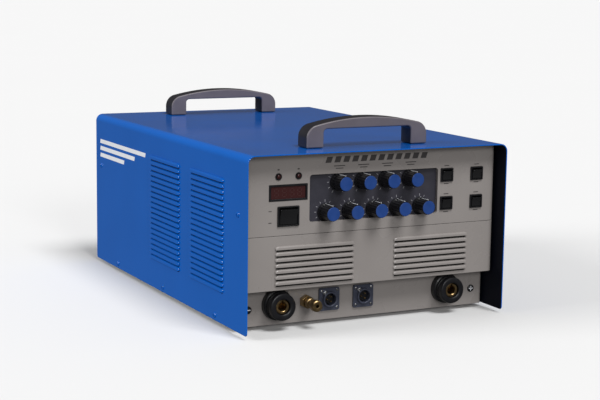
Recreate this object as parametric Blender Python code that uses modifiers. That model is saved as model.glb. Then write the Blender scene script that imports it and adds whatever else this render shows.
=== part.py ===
"""TIG welding power source: a folded steel cover over panels, controls, sockets and the inverter inside.

Frame: X to the right seen from the front, Y to the back, Z up, all in metres. The origin is on the
ground under the middle of the cover. Heights written as above(...) count from the cover's bottom edge,
and depths written as behind(...) count from the cover's front edge.
"""

import math

import bmesh
import bpy
from mathutils import Matrix, Vector

# Clearances
GAP = 0.0003                   # between pieces that seat on each other
RUNNING_GAP = 0.0006           # round a moving piece

# Outer cover, one sheet folded over the top and both sides
COVER_WIDTH = 0.310
COVER_DEPTH = 0.458
COVER_HEIGHT = 0.184
COVER_SHEET = 0.0012
COVER_FOLD = 0.0085
FOLD_STEPS = 4
GROUND_CLEARANCE = 0.004       # from the ground to the cover's bottom edge

# Pressed louvres, on both sides of the cover and on the vent panel
LOUVRE_PITCH = 0.0061
LOUVRE_RISE = 0.0043           # height of one hood
LOUVRE_REACH = 0.0026          # how far a hood stands out
LOUVRE_LIP = 0.0012            # upright edge over the slot
SIDE_LOUVRES = 20
SIDE_LOUVRE_LENGTH = 0.090
SIDE_LOUVRE_BOTTOM = 0.0343
SIDE_LOUVRE_STARTS = (0.058, 0.178)
FRONT_LOUVRES = 7
FRONT_LOUVRE_LENGTH = 0.092
FRONT_LOUVRE_BOTTOM = 0.0471
FRONT_LOUVRE_OFFSET = 0.0700   # from the middle of the panel to the middle of a group

# Sheet panels inside the cover
PANEL_SHEET = 0.0015
PANEL_SIDE_GAP = 0.0019
CONTROL_RECESS = 0.016
CONTROL_FOLD = 0.008
CONTROL_RETURN = 0.020
CONTROL_TOP_GAP = 0.0012
SEAM_HEIGHT = 0.098            # between the vent panel and the control panel
VENT_BOTTOM = 0.0412
CONNECTOR_RECESS = 0.036
CONNECTOR_FOLD = 0.005
CONNECTOR_RETURN = 0.014
REAR_RECESS = 0.016
BASE_LIFT = 0.0006             # the tray's underside over the cover's bottom edge
TRAY_FLANGE = 0.014

# Carrying handles
HANDLE_SPAN = 0.145
HANDLE_HEIGHT = 0.031
HANDLE_DEPTH = 0.022
HANDLE_LEG = 0.020
HANDLE_GRIP = 0.0115
HANDLE_EDGE = 0.0015
HANDLE_CROWN_RADIUS = 0.269    # bow of the top
HANDLE_SHOULDER_RADIUS = 0.014
HANDLE_OPENING_RADIUS = 0.004  # corners of the finger opening
HANDLE_STEPS = 8               # steps of a shoulder, and of half the top
FRONT_HANDLE_INSET = 0.044
REAR_HANDLE_INSET = 0.040

# Feet
FOOT_RADIUS = 0.012
FOOT_TAPER = 0.0015
FOOT_SCREW_RADIUS = 0.005
FOOT_SCREW_DEPTH = 0.002
FOOT_SIDE_INSET = 0.065
FOOT_FRONT_INSET = 0.081
FOOT_REAR_INSET = 0.065

# Rotary controls
KNOB_PITCH = 0.0286
KNOB_ROW_PITCH = 0.0305
KNOB_LOW_ROW = 0.0215          # above the seam
KNOB_DIAMETER = 0.018
KNOB_GRIP_DIAMETER = 0.0166
KNOB_FRONT_DIAMETER = 0.0158
KNOB_SKIRT = 0.0034
KNOB_LENGTH = 0.020
KNOB_EDGE = 0.0008
KNOB_SHAFT_DIAMETER = 0.006
KNOB_STEPS = 16
KNOB_PLATE_RECESS = 0.004
KNOB_PLATE_SHEET = 0.0015
KNOB_PLATE_LAP = 0.0021
KNOB_RIM_GAP = 0.0004
KNOB_SIDE_MARGIN = 0.020
WINDOW_RIM = 0.0015
WINDOW_CORNER = 0.0030
POT_DIAMETER = 0.016
POT_DEPTH = 0.009
BOARD_THICKNESS = 0.0016

# Display and lamps
CONTROL_GAP = 0.0032           # between the knob window and the controls beside it
DISPLAY_WIDTH = 0.0426
DISPLAY_HEIGHT = 0.0156
DISPLAY_THICKNESS = 0.003
DISPLAY_SINK = 0.0006
DISPLAY_LEVEL = 0.0445         # above the seam
MODULE_DEPTH = 0.012
MODULE_LAP = 0.002
LAMP_PITCH = 0.0228
LAMP_LEVEL = 0.0612
LAMP_DIAMETER = 0.0074
LAMP_STEM_DIAMETER = 0.0056
LAMP_REACH = 0.0024
LAMP_STEM = 0.010

# Power switch and mode switches: bezel width, bezel height, rocker width, rocker height
POWER_SWITCH = (0.0248, 0.0205, 0.0196, 0.0156)
POWER_LEVEL = 0.0200
MODE_SWITCH = (0.0155, 0.0136, 0.0112, 0.0094)
MODE_PITCH = 0.038
MODE_LOW_LEVEL = 0.0226
MODE_ROW_PITCH = 0.0306
BEZEL_REACH = 0.0016
SWITCH_DEPTH = 0.016
SWITCH_WALL = 0.0012
ROCKER_TILT = 10.0             # degrees either side of the middle
ROCKER_PIVOT = 0.0030          # pivot behind the bezel's front
ROCKER_FRONT = 0.0042          # pivot to the rocker's ends
ROCKER_WAIST = 0.0030          # pivot to the middle of its face
ROCKER_BACK = 0.0030
ROCKER_BACK_TAPER = 0.0020

# Welding sockets, control sockets and the gas outlet
SOCKET_LEVEL = 0.0225
SOCKET_XS = {"negative": -0.105, "positive": 0.101}
SOCKET_BASE_RADIUS = 0.0165
SOCKET_RING_RADIUS = 0.0145
SOCKET_BASE_DEPTH = 0.006
SOCKET_REACH = 0.019
SOCKET_TAIL = 0.016
SOCKET_TAIL_RADIUS = 0.0125
SOCKET_CONTACT_RADIUS = 0.0080
SOCKET_CONTACT_SINK = 0.0025
SOCKET_CONTACT_TAIL = 0.010
SOCKET_BORE_RADIUS = 0.0048
SOCKET_BORE_DEPTH = 0.022
FLANGE_WIDTH = 0.0245
FLANGE_THICKNESS = 0.0022
FLANGE_XS = {"torch": -0.0428, "remote": -0.0016}
BARREL_RADIUS = 0.0084
BARREL_BORE = 0.0066
BARREL_REACH = 0.0055
BARREL_BORE_DEPTH = 0.0105
BARREL_TAIL_RADIUS = 0.0095
BARREL_TAIL = 0.014
GAS_OUTLET_X = -0.0705
GAS_HEX_RADIUS = 0.0074
GAS_HEX_DEPTH = 0.007
GAS_NECK_RADIUS = 0.0042
GAS_RING_RADIUS = 0.0062
GAS_RING_DEPTH = 0.008
GAS_REACH = 0.029
GAS_BORE_RADIUS = 0.0019
GAS_TAIL = 0.009

# Back of the case
FAN_SIZE = 0.120
FAN_DEPTH = 0.038
FAN_X = 0.040
FAN_BOTTOM = 0.012
FAN_WALL = 0.003
FAN_HUB_RADIUS = 0.022
FAN_BLADES = 7
FAN_BLADE_SHEET = 0.0016
FAN_BLADE_CHORD = 0.026
FAN_BLADE_PITCH = 38.0         # degrees from the plane of the disc
FAN_TIP_GAP = 0.002
FAN_STATOR_DEPTH = 0.006
GUARD_WIRE = 0.0009
GUARD_RINGS = 3
GUARD_STAND = 0.004
GUARD_STEPS = 20
GUARD_CORNERS = (45, 135, 225, 315)
MAINS_GLAND = (-0.095, 0.040)  # X, then height above the cover's bottom edge
GLAND_RADIUS = 0.013
GLAND_REACH = 0.013
GLAND_BORE = 0.0045
GAS_INLET = (-0.095, 0.125)
INLET_REACH = 0.015
EARTH_STUD = (-0.058, 0.028)

# Inside
HEATSINK_WIDTH = 0.110
HEATSINK_HEIGHT = 0.058
HEATSINK_START = 0.205
HEATSINK_LENGTH = 0.170
HEATSINK_BASE = 0.008
HEATSINK_FINS = 11
HEATSINK_FIN = 0.0022
POWER_BOARD = (0.150, 0.165)
POWER_BOARD_STAND = 0.010
CAPACITOR_RADIUS = 0.0175
CAPACITOR_HEIGHT = 0.050
CAPACITOR_PITCH = 0.044
CORE_SIZE = (0.084, 0.056, 0.066)
CORE_LIMB = 0.014
TRANSFORMER_X = 0.040
TRANSFORMER_START = 0.105
WINDING_BUILD = 0.011
CHOKE_X = -0.090
CHOKE_START = 0.095
CHOKE_RADIUS = 0.042
CHOKE_BORE = 0.018
CHOKE_HEIGHT = 0.034
HF_UNIT = (0.052, 0.070, 0.040)
HF_START = 0.215
VALVE_WIDTH = 0.028
VALVE_DEPTH = 0.034
COIL_RADIUS = 0.012
COIL_HEIGHT = 0.026
PLUNGER_RADIUS = 0.005
PLUNGER_LENGTH = 0.018
PLUNGER_FLOOR = 0.004
HOSE_RADIUS = 0.0035
HOSE_END_GAP = 0.0012
HOSE_SIDE_ROOM = 0.012

# Colour, roughness and metallic value of each finish
FINISHES = {
    "blue_enamel": ((0.012, 0.110, 0.460), 0.32, 0.0),
    "beige_enamel": ((0.330, 0.300, 0.285), 0.45, 0.0),
    "zinc_sheet": ((0.520, 0.530, 0.540), 0.40, 0.9),
    "handle_plastic": ((0.105, 0.098, 0.105), 0.55, 0.0),
    "black_plastic": ((0.018, 0.018, 0.020), 0.45, 0.0),
    "plate_grey": ((0.055, 0.055, 0.075), 0.50, 0.0),
    "smoked_lens": ((0.045, 0.012, 0.012), 0.12, 0.0),
    "rubber": ((0.020, 0.020, 0.020), 0.85, 0.0),
    "brass": ((0.560, 0.390, 0.170), 0.30, 1.0),
    "aluminium": ((0.620, 0.630, 0.640), 0.38, 1.0),
    "circuit_board": ((0.020, 0.160, 0.060), 0.50, 0.0),
    "ferrite": ((0.080, 0.080, 0.085), 0.60, 0.0),
    "winding": ((0.420, 0.200, 0.060), 0.45, 0.3),
    "capacitor_sleeve": ((0.020, 0.040, 0.120), 0.40, 0.0),
    "steel": ((0.450, 0.450, 0.460), 0.30, 1.0),
    "hose": ((0.040, 0.040, 0.045), 0.70, 0.0),
}

# Worked out from the sizes above
HALF_INSIDE = COVER_WIDTH / 2 - COVER_SHEET
PANEL_HALF = HALF_INSIDE - PANEL_SIDE_GAP
WINDOW_WIDTH = 4 * KNOB_PITCH + 2 * KNOB_SIDE_MARGIN
WINDOW_HEIGHT = KNOB_ROW_PITCH + KNOB_DIAMETER + 2 * KNOB_RIM_GAP
WINDOW_LEVEL = SEAM_HEIGHT + KNOB_LOW_ROW + KNOB_ROW_PITCH / 2
LEFT_GROUP_X = -(WINDOW_WIDTH / 2 + CONTROL_GAP + DISPLAY_WIDTH / 2)
MODE_X = WINDOW_WIDTH / 2 + CONTROL_GAP + MODE_SWITCH[0] / 2
PLATE_FRONT = CONTROL_RECESS + KNOB_PLATE_RECESS
PLATE_BACK = PLATE_FRONT + KNOB_PLATE_SHEET
TRAY_TOP = BASE_LIFT + PANEL_SHEET
REAR_FACE = COVER_DEPTH - REAR_RECESS
FAN_FRONT = REAR_FACE - PANEL_SHEET - GAP - FAN_DEPTH
FAN_LEVEL = FAN_BOTTOM + FAN_SIZE / 2
FAN_RADIUS = FAN_SIZE / 2 - FAN_WALL


def above(height):
    """World height of a level counted up from the cover's bottom edge."""
    return GROUND_CLEARANCE + height


def behind(depth):
    """World Y of a plane counted back from the cover's front edge."""
    return depth - COVER_DEPTH / 2


def clear_scene():
    """Remove what a new file holds, and what an earlier run left."""
    for obj in list(bpy.data.objects):
        bpy.data.objects.remove(obj, do_unlink=True)
    for group in list(bpy.data.collections):
        bpy.data.collections.remove(group)


def new_collection(name):
    group = bpy.data.collections.new(name)
    bpy.context.scene.collection.children.link(group)
    return group


def finish(name):
    """The material of one finish, made at its first use."""
    made = bpy.data.materials.get(name)
    if made:
        return made
    color, roughness, metallic = FINISHES[name]
    made = bpy.data.materials.new(name)
    made.use_nodes = True
    made.diffuse_color = (*color, 1.0)
    shader = made.node_tree.nodes["Principled BSDF"]
    shader.inputs["Base Color"].default_value = (*color, 1.0)
    shader.inputs["Roughness"].default_value = roughness
    shader.inputs["Metallic"].default_value = metallic
    return made


def place(name, bm, material):
    """Make a part from a bmesh that holds world positions."""
    bmesh.ops.recalc_face_normals(bm, faces=bm.faces)
    mesh = bpy.data.meshes.new(name)
    bm.to_mesh(mesh)
    bm.free()
    obj = bpy.data.objects.new(name, mesh)
    mesh.materials.append(finish(material))
    PARTS.objects.link(obj)
    return obj


def tool(name, bm):
    """Make a shape that only cuts or joins, left out of the model."""
    bmesh.ops.recalc_face_normals(bm, faces=bm.faces)
    mesh = bpy.data.meshes.new(name)
    bm.to_mesh(mesh)
    bm.free()
    obj = bpy.data.objects.new(name, mesh)
    obj.hide_render = True
    obj.display_type = "WIRE"
    CUTTERS.objects.link(obj)
    return obj


def combine(obj, operand, operation):
    """Add an exact Boolean of obj with a tool."""
    step = obj.modifiers.new(operation.title(), "BOOLEAN")
    step.operation = operation
    step.solver = "EXACT"
    step.object = operand


def add_box(bm, low, high):
    """A box between two corners."""
    low, high = Vector(low), Vector(high)
    size = Matrix.Diagonal((*(high - low), 1.0))
    bmesh.ops.create_cube(bm, size=1.0, matrix=Matrix.Translation((low + high) / 2) @ size)


def add_round(bm, start, end, radius, end_radius=None, segments=20):
    """A cylinder or cone between two points."""
    start, end = Vector(start), Vector(end)
    run = end - start
    turn = run.to_track_quat("Z", "Y").to_matrix().to_4x4()
    bmesh.ops.create_cone(
        bm,
        cap_ends=True,
        segments=segments,
        radius1=radius,
        radius2=radius if end_radius is None else end_radius,
        depth=run.length,
        matrix=Matrix.Translation((start + end) / 2) @ turn,
    )


def add_prism(bm, outline, sweep):
    """A flat outline swept along a vector."""
    face = bm.faces.new([bm.verts.new(point) for point in outline])
    swept = bmesh.ops.extrude_face_region(bm, geom=[face])
    moved = [item for item in swept["geom"] if isinstance(item, bmesh.types.BMVert)]
    bmesh.ops.translate(bm, verts=moved, vec=sweep)


def arc(center, radius, start, end, steps):
    """Flat points on a circular arc, angles in degrees."""
    points = []
    for i in range(steps + 1):
        angle = math.radians(start + (end - start) * i / steps)
        points.append((center[0] + radius * math.cos(angle), center[1] + radius * math.sin(angle)))
    return points


def rounded_outline(half_width, half_height, radius):
    """Flat points of a rectangle with rounded corners, middle at the origin."""
    across, up = half_width - radius, half_height - radius
    corners = ((across, up, 0), (-across, up, 90), (-across, -up, 180), (across, -up, 270))
    return [p for x, z, start in corners for p in arc((x, z), radius, start, start + 90, FOLD_STEPS)]


def folded_sheet(name, path, sweep, thickness, material):
    """A sheet that follows a path and is swept along a vector, its thickness behind the face."""
    bm = bmesh.new()
    near = [bm.verts.new(point) for point in path]
    far = [bm.verts.new(Vector(point) + sweep) for point in path]
    for i in range(len(path) - 1):
        bm.faces.new((near[i], near[i + 1], far[i + 1], far[i]))
    mesh = bpy.data.meshes.new(name)
    bm.to_mesh(mesh)
    bm.free()
    obj = bpy.data.objects.new(name, mesh)
    mesh.materials.append(finish(material))
    PARTS.objects.link(obj)
    wall = obj.modifiers.new("Sheet", "SOLIDIFY")
    wall.thickness = thickness
    wall.offset = -1.0
    wall.use_even_offset = True
    return obj


def turned(name, profile, location, material, steps=20, facing="front"):
    """A turned part from (radius, reach) points, top to bottom down its outer side.

    Reach is counted from location, out of the face that the part stands on.
    """
    mesh = bpy.data.meshes.new(name)
    bm = bmesh.new()
    points = [bm.verts.new((radius, 0.0, reach)) for radius, reach in profile]
    for upper, lower in zip(points, points[1:]):
        bm.edges.new((upper, lower))
    bm.to_mesh(mesh)
    bm.free()
    obj = bpy.data.objects.new(name, mesh)
    mesh.materials.append(finish(material))
    PARTS.objects.link(obj)
    obj.location = location
    obj.rotation_euler = {
        "front": (math.pi / 2, 0.0, 0.0),
        "back": (-math.pi / 2, 0.0, 0.0),
        "up": (0.0, 0.0, 0.0),
    }[facing]
    spin = obj.modifiers.new("Turn", "SCREW")
    spin.axis = "Z"
    spin.angle = math.tau
    spin.steps = steps
    spin.render_steps = steps
    spin.use_merge_vertices = True
    spin.merge_threshold = 0.00001
    spin.use_smooth_shade = True
    return obj


def louvre_tools(name, rows):
    """Hoods and slots of pressed louvres.

    Each row is the lower end of a slot on the sheet's face, the way out of the face, the vector
    along the louvre and the sheet's thickness.
    """
    hoods, slots = bmesh.new(), bmesh.new()
    for corner, out, along, sheet in rows:
        corner, out, along = Vector(corner), Vector(out), Vector(along)
        up = Vector((0.0, 0.0, 1.0))

        def at(reach, rise, shift=0.0):
            return corner + out * reach + up * rise + along.normalized() * shift

        hood = [
            at(-sheet / 2, 0.0),
            at(LOUVRE_REACH, 0.0),
            at(LOUVRE_REACH, LOUVRE_LIP),
            at(0.0, LOUVRE_RISE),
            at(-sheet / 2, LOUVRE_RISE),
        ]
        add_prism(hoods, hood, along)
        inner = LOUVRE_REACH - sheet
        slot = [
            at(-3 * sheet, -GAP, sheet),
            at(inner, -GAP, sheet),
            at(inner, LOUVRE_LIP, sheet),
            at(0.0, LOUVRE_RISE - sheet, sheet),
            at(-3 * sheet, LOUVRE_RISE - sheet, sheet),
        ]
        add_prism(slots, slot, along.normalized() * (along.length - 2 * sheet))
    return tool(name + "_hoods", hoods), tool(name + "_slots", slots)


def outer_cover():
    """One folded sheet, open at both ends and below, with two columns of louvres on each side."""
    half, fold = COVER_WIDTH / 2, COVER_FOLD
    bottom, top = above(0.0), above(COVER_HEIGHT)
    outline = [(-half, bottom)]
    outline += arc((-half + fold, top - fold), fold, 180, 90, FOLD_STEPS)
    outline += arc((half - fold, top - fold), fold, 90, 0, FOLD_STEPS)
    outline += [(half, bottom)]
    path = [(x, behind(0.0), z) for x, z in outline]
    cover = folded_sheet("outer_cover", path, Vector((0.0, COVER_DEPTH, 0.0)), COVER_SHEET, "blue_enamel")
    rows = []
    for side in (-1, 1):
        for start in SIDE_LOUVRE_STARTS:
            for i in range(SIDE_LOUVRES):
                height = above(SIDE_LOUVRE_BOTTOM + i * LOUVRE_PITCH)
                corner = (side * half, behind(start), height)
                rows.append((corner, (side, 0, 0), (0, SIDE_LOUVRE_LENGTH, 0), COVER_SHEET))
    hoods, slots = louvre_tools("side_louvre", rows)
    combine(cover, hoods, "UNION")
    combine(cover, slots, "DIFFERENCE")


def panel_outline(face, fold, depth, facing=-1):
    """Plan of a panel with rounded upright edges and returns along both sides, left to right seen
    from outside. facing is -1 for a panel that faces the front and 1 for one that faces the back."""
    half, middle = PANEL_HALF, face - facing * fold
    turn = 180 if facing < 0 else 0
    start, quarter, end = -facing * -half, turn + 90, turn + 180
    outline = [(start, face - facing * depth)]
    outline += arc((start + facing * -fold, middle), fold, turn, quarter, FOLD_STEPS)
    outline += arc((-start - facing * -fold, middle), fold, quarter, end, FOLD_STEPS)
    outline += [(-start, face - facing * depth)]
    return outline


def bent_panel(name, face, fold, depth, low, high, facing=-1, material="beige_enamel"):
    """A sheet panel between two heights, with rounded upright edges and side returns."""
    path = [(x, y, above(low)) for x, y in panel_outline(behind(face), fold, depth, facing)]
    return folded_sheet(name, path, Vector((0.0, 0.0, high - low)), PANEL_SHEET, material)


def shelf_tool(name, face, fold, depth, low, facing=-1):
    """A level flange with the panel's own plan, joined to the panel's lower edge."""
    bm = bmesh.new()
    plan = [(x, y, above(low)) for x, y in panel_outline(behind(face), fold, depth, facing)]
    add_prism(bm, plan, Vector((0.0, 0.0, PANEL_SHEET)))
    return tool(name, bm)


def trim_to_cover(panel):
    """Round a panel's upper corners to follow the inside of the cover's folds."""
    radius = COVER_FOLD - COVER_SHEET - CONTROL_TOP_GAP
    half, top = COVER_WIDTH / 2 - COVER_FOLD, above(COVER_HEIGHT - COVER_FOLD)
    outline = [(half + radius, above(0.0)), *arc((half, top), radius, 0, 90, FOLD_STEPS)]
    outline += [*arc((-half, top), radius, 90, 180, FOLD_STEPS), (-half - radius, above(0.0))]
    bm = bmesh.new()
    add_prism(bm, [(x, behind(0.0), z) for x, z in outline], Vector((0.0, COVER_DEPTH, 0.0)))
    combine(panel, tool(panel.name + "_inside", bm), "INTERSECT")


def knob_places():
    """X and height of the nine knobs, the upper row of four and then the lower row of five."""
    low = SEAM_HEIGHT + KNOB_LOW_ROW
    upper = [((i - 1.5) * KNOB_PITCH, low + KNOB_ROW_PITCH) for i in range(4)]
    return upper + [((i - 2.0) * KNOB_PITCH, low) for i in range(5)]


def mode_places():
    """X and height of the four mode switches, left to right, the upper pair first."""
    low = SEAM_HEIGHT + MODE_LOW_LEVEL
    columns = (MODE_X, MODE_X + MODE_PITCH)
    return [(x, z) for z in (low + MODE_ROW_PITCH, low) for x in columns]


def lamp_places():
    """X and height of the two lamps over the display."""
    level = SEAM_HEIGHT + LAMP_LEVEL
    return [(LEFT_GROUP_X - LAMP_PITCH / 2, level), (LEFT_GROUP_X + LAMP_PITCH / 2, level)]


def switch_body_size(switch):
    """Width and height of the switch housing behind its bezel."""
    return switch[2] + 2 * RUNNING_GAP + 2 * SWITCH_WALL, rocker_sweep(switch) + 2 * SWITCH_WALL


def rocker_sweep(switch):
    """Height of the opening that a rocker needs to tip either way."""
    tilt = math.radians(ROCKER_TILT)
    reach = switch[3] / 2 * math.cos(tilt) + ROCKER_FRONT * math.sin(tilt)
    return 2 * (reach + RUNNING_GAP)


def control_panel():
    """The upper front panel: a drawn rim round the knob window, and openings for every control."""
    top = COVER_HEIGHT - COVER_SHEET - CONTROL_TOP_GAP
    panel = bent_panel("control_panel", CONTROL_RECESS, CONTROL_FOLD, CONTROL_RETURN, SEAM_HEIGHT + GAP, top)
    rim, cuts = bmesh.new(), bmesh.new()
    half_w, half_h = WINDOW_WIDTH / 2, WINDOW_HEIGHT / 2
    face, back = behind(CONTROL_RECESS), behind(PLATE_FRONT)
    level = above(WINDOW_LEVEL)
    through = (face - PANEL_SHEET, back + PANEL_SHEET)

    def window(bm, margin, start, end):
        outline = rounded_outline(half_w + margin, half_h + margin, WINDOW_CORNER + margin)
        add_prism(bm, [(x, start, level + z) for x, z in outline], Vector((0.0, end - start, 0.0)))

    window(rim, WINDOW_RIM, face + PANEL_SHEET / 2, back - GAP)
    window(cuts, 0.0, *through)

    def opening(x, height, width, tall):
        add_box(
            cuts,
            (x - width / 2, through[0], above(height) - tall / 2),
            (x + width / 2, through[1], above(height) + tall / 2),
        )

    opening(LEFT_GROUP_X, SEAM_HEIGHT + DISPLAY_LEVEL, DISPLAY_WIDTH + 2 * GAP, DISPLAY_HEIGHT + 2 * GAP)
    body = switch_body_size(POWER_SWITCH)
    opening(LEFT_GROUP_X, SEAM_HEIGHT + POWER_LEVEL, body[0] + 2 * GAP, body[1] + 2 * GAP)
    body = switch_body_size(MODE_SWITCH)
    for x, height in mode_places():
        opening(x, height, body[0] + 2 * GAP, body[1] + 2 * GAP)
    for x, height in lamp_places():
        start, end = (x, through[0], above(height)), (x, through[1], above(height))
        add_round(cuts, start, end, LAMP_STEM_DIAMETER / 2 + GAP, segments=16)
    combine(panel, tool("window_rim", rim), "UNION")
    combine(panel, tool("control_openings", cuts), "DIFFERENCE")
    trim_to_cover(panel)


def vent_panel():
    """The middle front panel, with two groups of louvres and a shelf that meets the socket panel."""
    panel = bent_panel(
        "vent_panel", CONTROL_RECESS, CONTROL_FOLD, CONTROL_RETURN, VENT_BOTTOM, SEAM_HEIGHT - GAP
    )
    depth = CONNECTOR_RECESS - CONTROL_RECESS - GAP
    combine(panel, shelf_tool("vent_shelf", CONTROL_RECESS, CONTROL_FOLD, depth, VENT_BOTTOM), "UNION")
    rows = []
    for middle in (-FRONT_LOUVRE_OFFSET, FRONT_LOUVRE_OFFSET):
        for i in range(FRONT_LOUVRES):
            height = above(FRONT_LOUVRE_BOTTOM + i * LOUVRE_PITCH)
            corner = (middle - FRONT_LOUVRE_LENGTH / 2, behind(CONTROL_RECESS), height)
            rows.append((corner, (0, -1, 0), (FRONT_LOUVRE_LENGTH, 0, 0), PANEL_SHEET))
    hoods, slots = louvre_tools("front_louvre", rows)
    combine(panel, hoods, "UNION")
    combine(panel, slots, "DIFFERENCE")


def connector_panel():
    """The lower front panel, set back under the vent panel, with holes for the sockets."""
    panel = bent_panel(
        "connector_panel",
        CONNECTOR_RECESS,
        CONNECTOR_FOLD,
        CONNECTOR_RETURN,
        BASE_LIFT,
        VENT_BOTTOM - GAP,
    )
    shelf = shelf_tool("connector_shelf", CONNECTOR_RECESS, CONNECTOR_FOLD, CONNECTOR_RETURN, BASE_LIFT)
    combine(panel, shelf, "UNION")
    cuts = bmesh.new()
    holes = [(x, SOCKET_TAIL_RADIUS) for x in SOCKET_XS.values()]
    holes += [(x, BARREL_TAIL_RADIUS) for x in FLANGE_XS.values()]
    holes += [(GAS_OUTLET_X, GAS_NECK_RADIUS)]
    for x, radius in holes:
        start = (x, behind(CONNECTOR_RECESS - PANEL_SHEET), above(SOCKET_LEVEL))
        end = (x, behind(CONNECTOR_RECESS + 2 * PANEL_SHEET), above(SOCKET_LEVEL))
        add_round(cuts, start, end, radius + GAP)
    combine(panel, tool("connector_holes", cuts), "DIFFERENCE")


def rear_panel():
    """The back panel, with the fan's opening and the holes of the mains lead, gas and earth."""
    top = COVER_HEIGHT - COVER_SHEET - CONTROL_TOP_GAP
    panel = bent_panel(
        "rear_panel", REAR_FACE, CONTROL_FOLD, CONTROL_RETURN, BASE_LIFT, top, 1, "blue_enamel"
    )
    shelf = shelf_tool("rear_shelf", REAR_FACE, CONTROL_FOLD, CONTROL_RETURN, BASE_LIFT, 1)
    combine(panel, shelf, "UNION")
    cuts = bmesh.new()
    holes = (
        (FAN_X, FAN_LEVEL, FAN_RADIUS, 32),
        (*MAINS_GLAND, GLAND_RADIUS * 0.75 + GAP, 16),
        (*GAS_INLET, GAS_NECK_RADIUS + GAP, 16),
        (*EARTH_STUD, GAS_NECK_RADIUS + GAP, 16),
    )
    for x, height, radius, segments in holes:
        start = (x, behind(REAR_FACE - 2 * PANEL_SHEET), above(height))
        end = (x, behind(REAR_FACE + PANEL_SHEET), above(height))
        add_round(cuts, start, end, radius, segments=segments)
    combine(panel, tool("rear_holes", cuts), "DIFFERENCE")
    trim_to_cover(panel)


def base_tray():
    """The tray that carries the inside: a floor with a flange up each side, between the panels."""
    half = HALF_INSIDE - GAP
    start = CONNECTOR_RECESS + CONNECTOR_RETURN + GAP
    end = REAR_FACE - CONTROL_RETURN - GAP
    low, high = above(BASE_LIFT), above(BASE_LIFT + TRAY_FLANGE)
    path = [(x, behind(start), z) for x, z in ((half, high), (half, low), (-half, low), (-half, high))]
    folded_sheet("base_tray", path, Vector((0.0, end - start, 0.0)), PANEL_SHEET, "zinc_sheet")


def bowed_arch(half, height):
    """Outer outline of a handle, right foot to left: straight legs, round shoulders and a bowed top."""
    crown, shoulder = HANDLE_CROWN_RADIUS, HANDLE_SHOULDER_RADIUS
    across = half - shoulder
    rise = math.sqrt((crown - shoulder) ** 2 - across**2)
    level = height - crown + rise
    lean = math.degrees(math.atan2(rise, across))
    right = arc((across, level), shoulder, 0, lean, HANDLE_STEPS)
    top = arc((0.0, height - crown), crown, lean, 180 - lean, 2 * HANDLE_STEPS)[1:-1]
    left = arc((-across, level), shoulder, 180 - lean, 180, HANDLE_STEPS)
    return [(half, 0.0), *right, *top, *left, (-half, 0.0)]


def square_arch(half, height, radius):
    """Outline of a handle's finger opening, right foot to left, with rounded upper corners."""
    across, level = half - radius, height - radius
    right = arc((across, level), radius, 0, 90, FOLD_STEPS)
    left = arc((-across, level), radius, 90, 180, FOLD_STEPS)
    return [(half, 0.0), *right, *left, (-half, 0.0)]


def handle(name, inset_y):
    """A moulded carrying handle that spans the cover from left to right."""
    base = above(COVER_HEIGHT) + GAP
    outer = bowed_arch(HANDLE_SPAN / 2, HANDLE_HEIGHT)
    opening = HANDLE_SPAN / 2 - HANDLE_LEG
    inner = square_arch(opening, HANDLE_HEIGHT - HANDLE_GRIP, HANDLE_OPENING_RADIUS)
    y = behind(inset_y) - HANDLE_DEPTH / 2
    bm = bmesh.new()
    outline = [(x, y, base + z) for x, z in outer + inner[::-1]]
    add_prism(bm, outline, Vector((0.0, HANDLE_DEPTH, 0.0)))
    obj = place(name, bm, "handle_plastic")
    edge = obj.modifiers.new("Edges", "BEVEL")
    edge.width = HANDLE_EDGE
    edge.segments = 2
    edge.limit_method = "ANGLE"
    edge.angle_limit = math.radians(60)


def foot(name, x, y):
    """A rubber foot under the tray, hollow below for its screw."""
    height = above(BASE_LIFT) - GAP
    profile = [
        (0.0, height),
        (FOOT_RADIUS, height),
        (FOOT_RADIUS - FOOT_TAPER, 0.0),
        (FOOT_SCREW_RADIUS, 0.0),
        (FOOT_SCREW_RADIUS, FOOT_SCREW_DEPTH),
        (0.0, FOOT_SCREW_DEPTH),
    ]
    turned(name, profile, (x, y, 0.0), "rubber", 16, "up")


def knob_plate():
    """The dark plate behind the knob window, drilled for the nine shafts."""
    bm, cuts = bmesh.new(), bmesh.new()
    half_w, half_h = WINDOW_WIDTH / 2 + KNOB_PLATE_LAP, WINDOW_HEIGHT / 2 + KNOB_PLATE_LAP
    front, back, level = behind(PLATE_FRONT), behind(PLATE_BACK), above(WINDOW_LEVEL)
    add_box(bm, (-half_w, front, level - half_h), (half_w, back, level + half_h))
    for x, height in knob_places():
        start, end = (x, front - KNOB_PLATE_SHEET, above(height)), (x, back + KNOB_PLATE_SHEET, above(height))
        add_round(cuts, start, end, KNOB_SHAFT_DIAMETER / 2 + RUNNING_GAP, segments=12)
    combine(place("knob_plate", bm, "plate_grey"), tool("shaft_holes", cuts), "DIFFERENCE")


def knobs():
    """Nine knobs, each on its own shaft. Reach is counted from the knob plate's front."""
    shaft = KNOB_SHAFT_DIAMETER / 2
    profile = [
        (0.0, KNOB_LENGTH),
        (KNOB_FRONT_DIAMETER / 2 - KNOB_EDGE, KNOB_LENGTH),
        (KNOB_FRONT_DIAMETER / 2, KNOB_LENGTH - KNOB_EDGE),
        (KNOB_GRIP_DIAMETER / 2, KNOB_SKIRT),
        (KNOB_DIAMETER / 2, KNOB_SKIRT - KNOB_EDGE),
        (KNOB_DIAMETER / 2, RUNNING_GAP),
        (shaft, RUNNING_GAP),
        (shaft, -KNOB_PLATE_SHEET),
        (0.0, -KNOB_PLATE_SHEET),
    ]
    for i, (x, height) in enumerate(knob_places(), start=1):
        turned(f"knob_{i}", profile, (x, behind(PLATE_FRONT), above(height)), "black_plastic", KNOB_STEPS)


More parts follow.
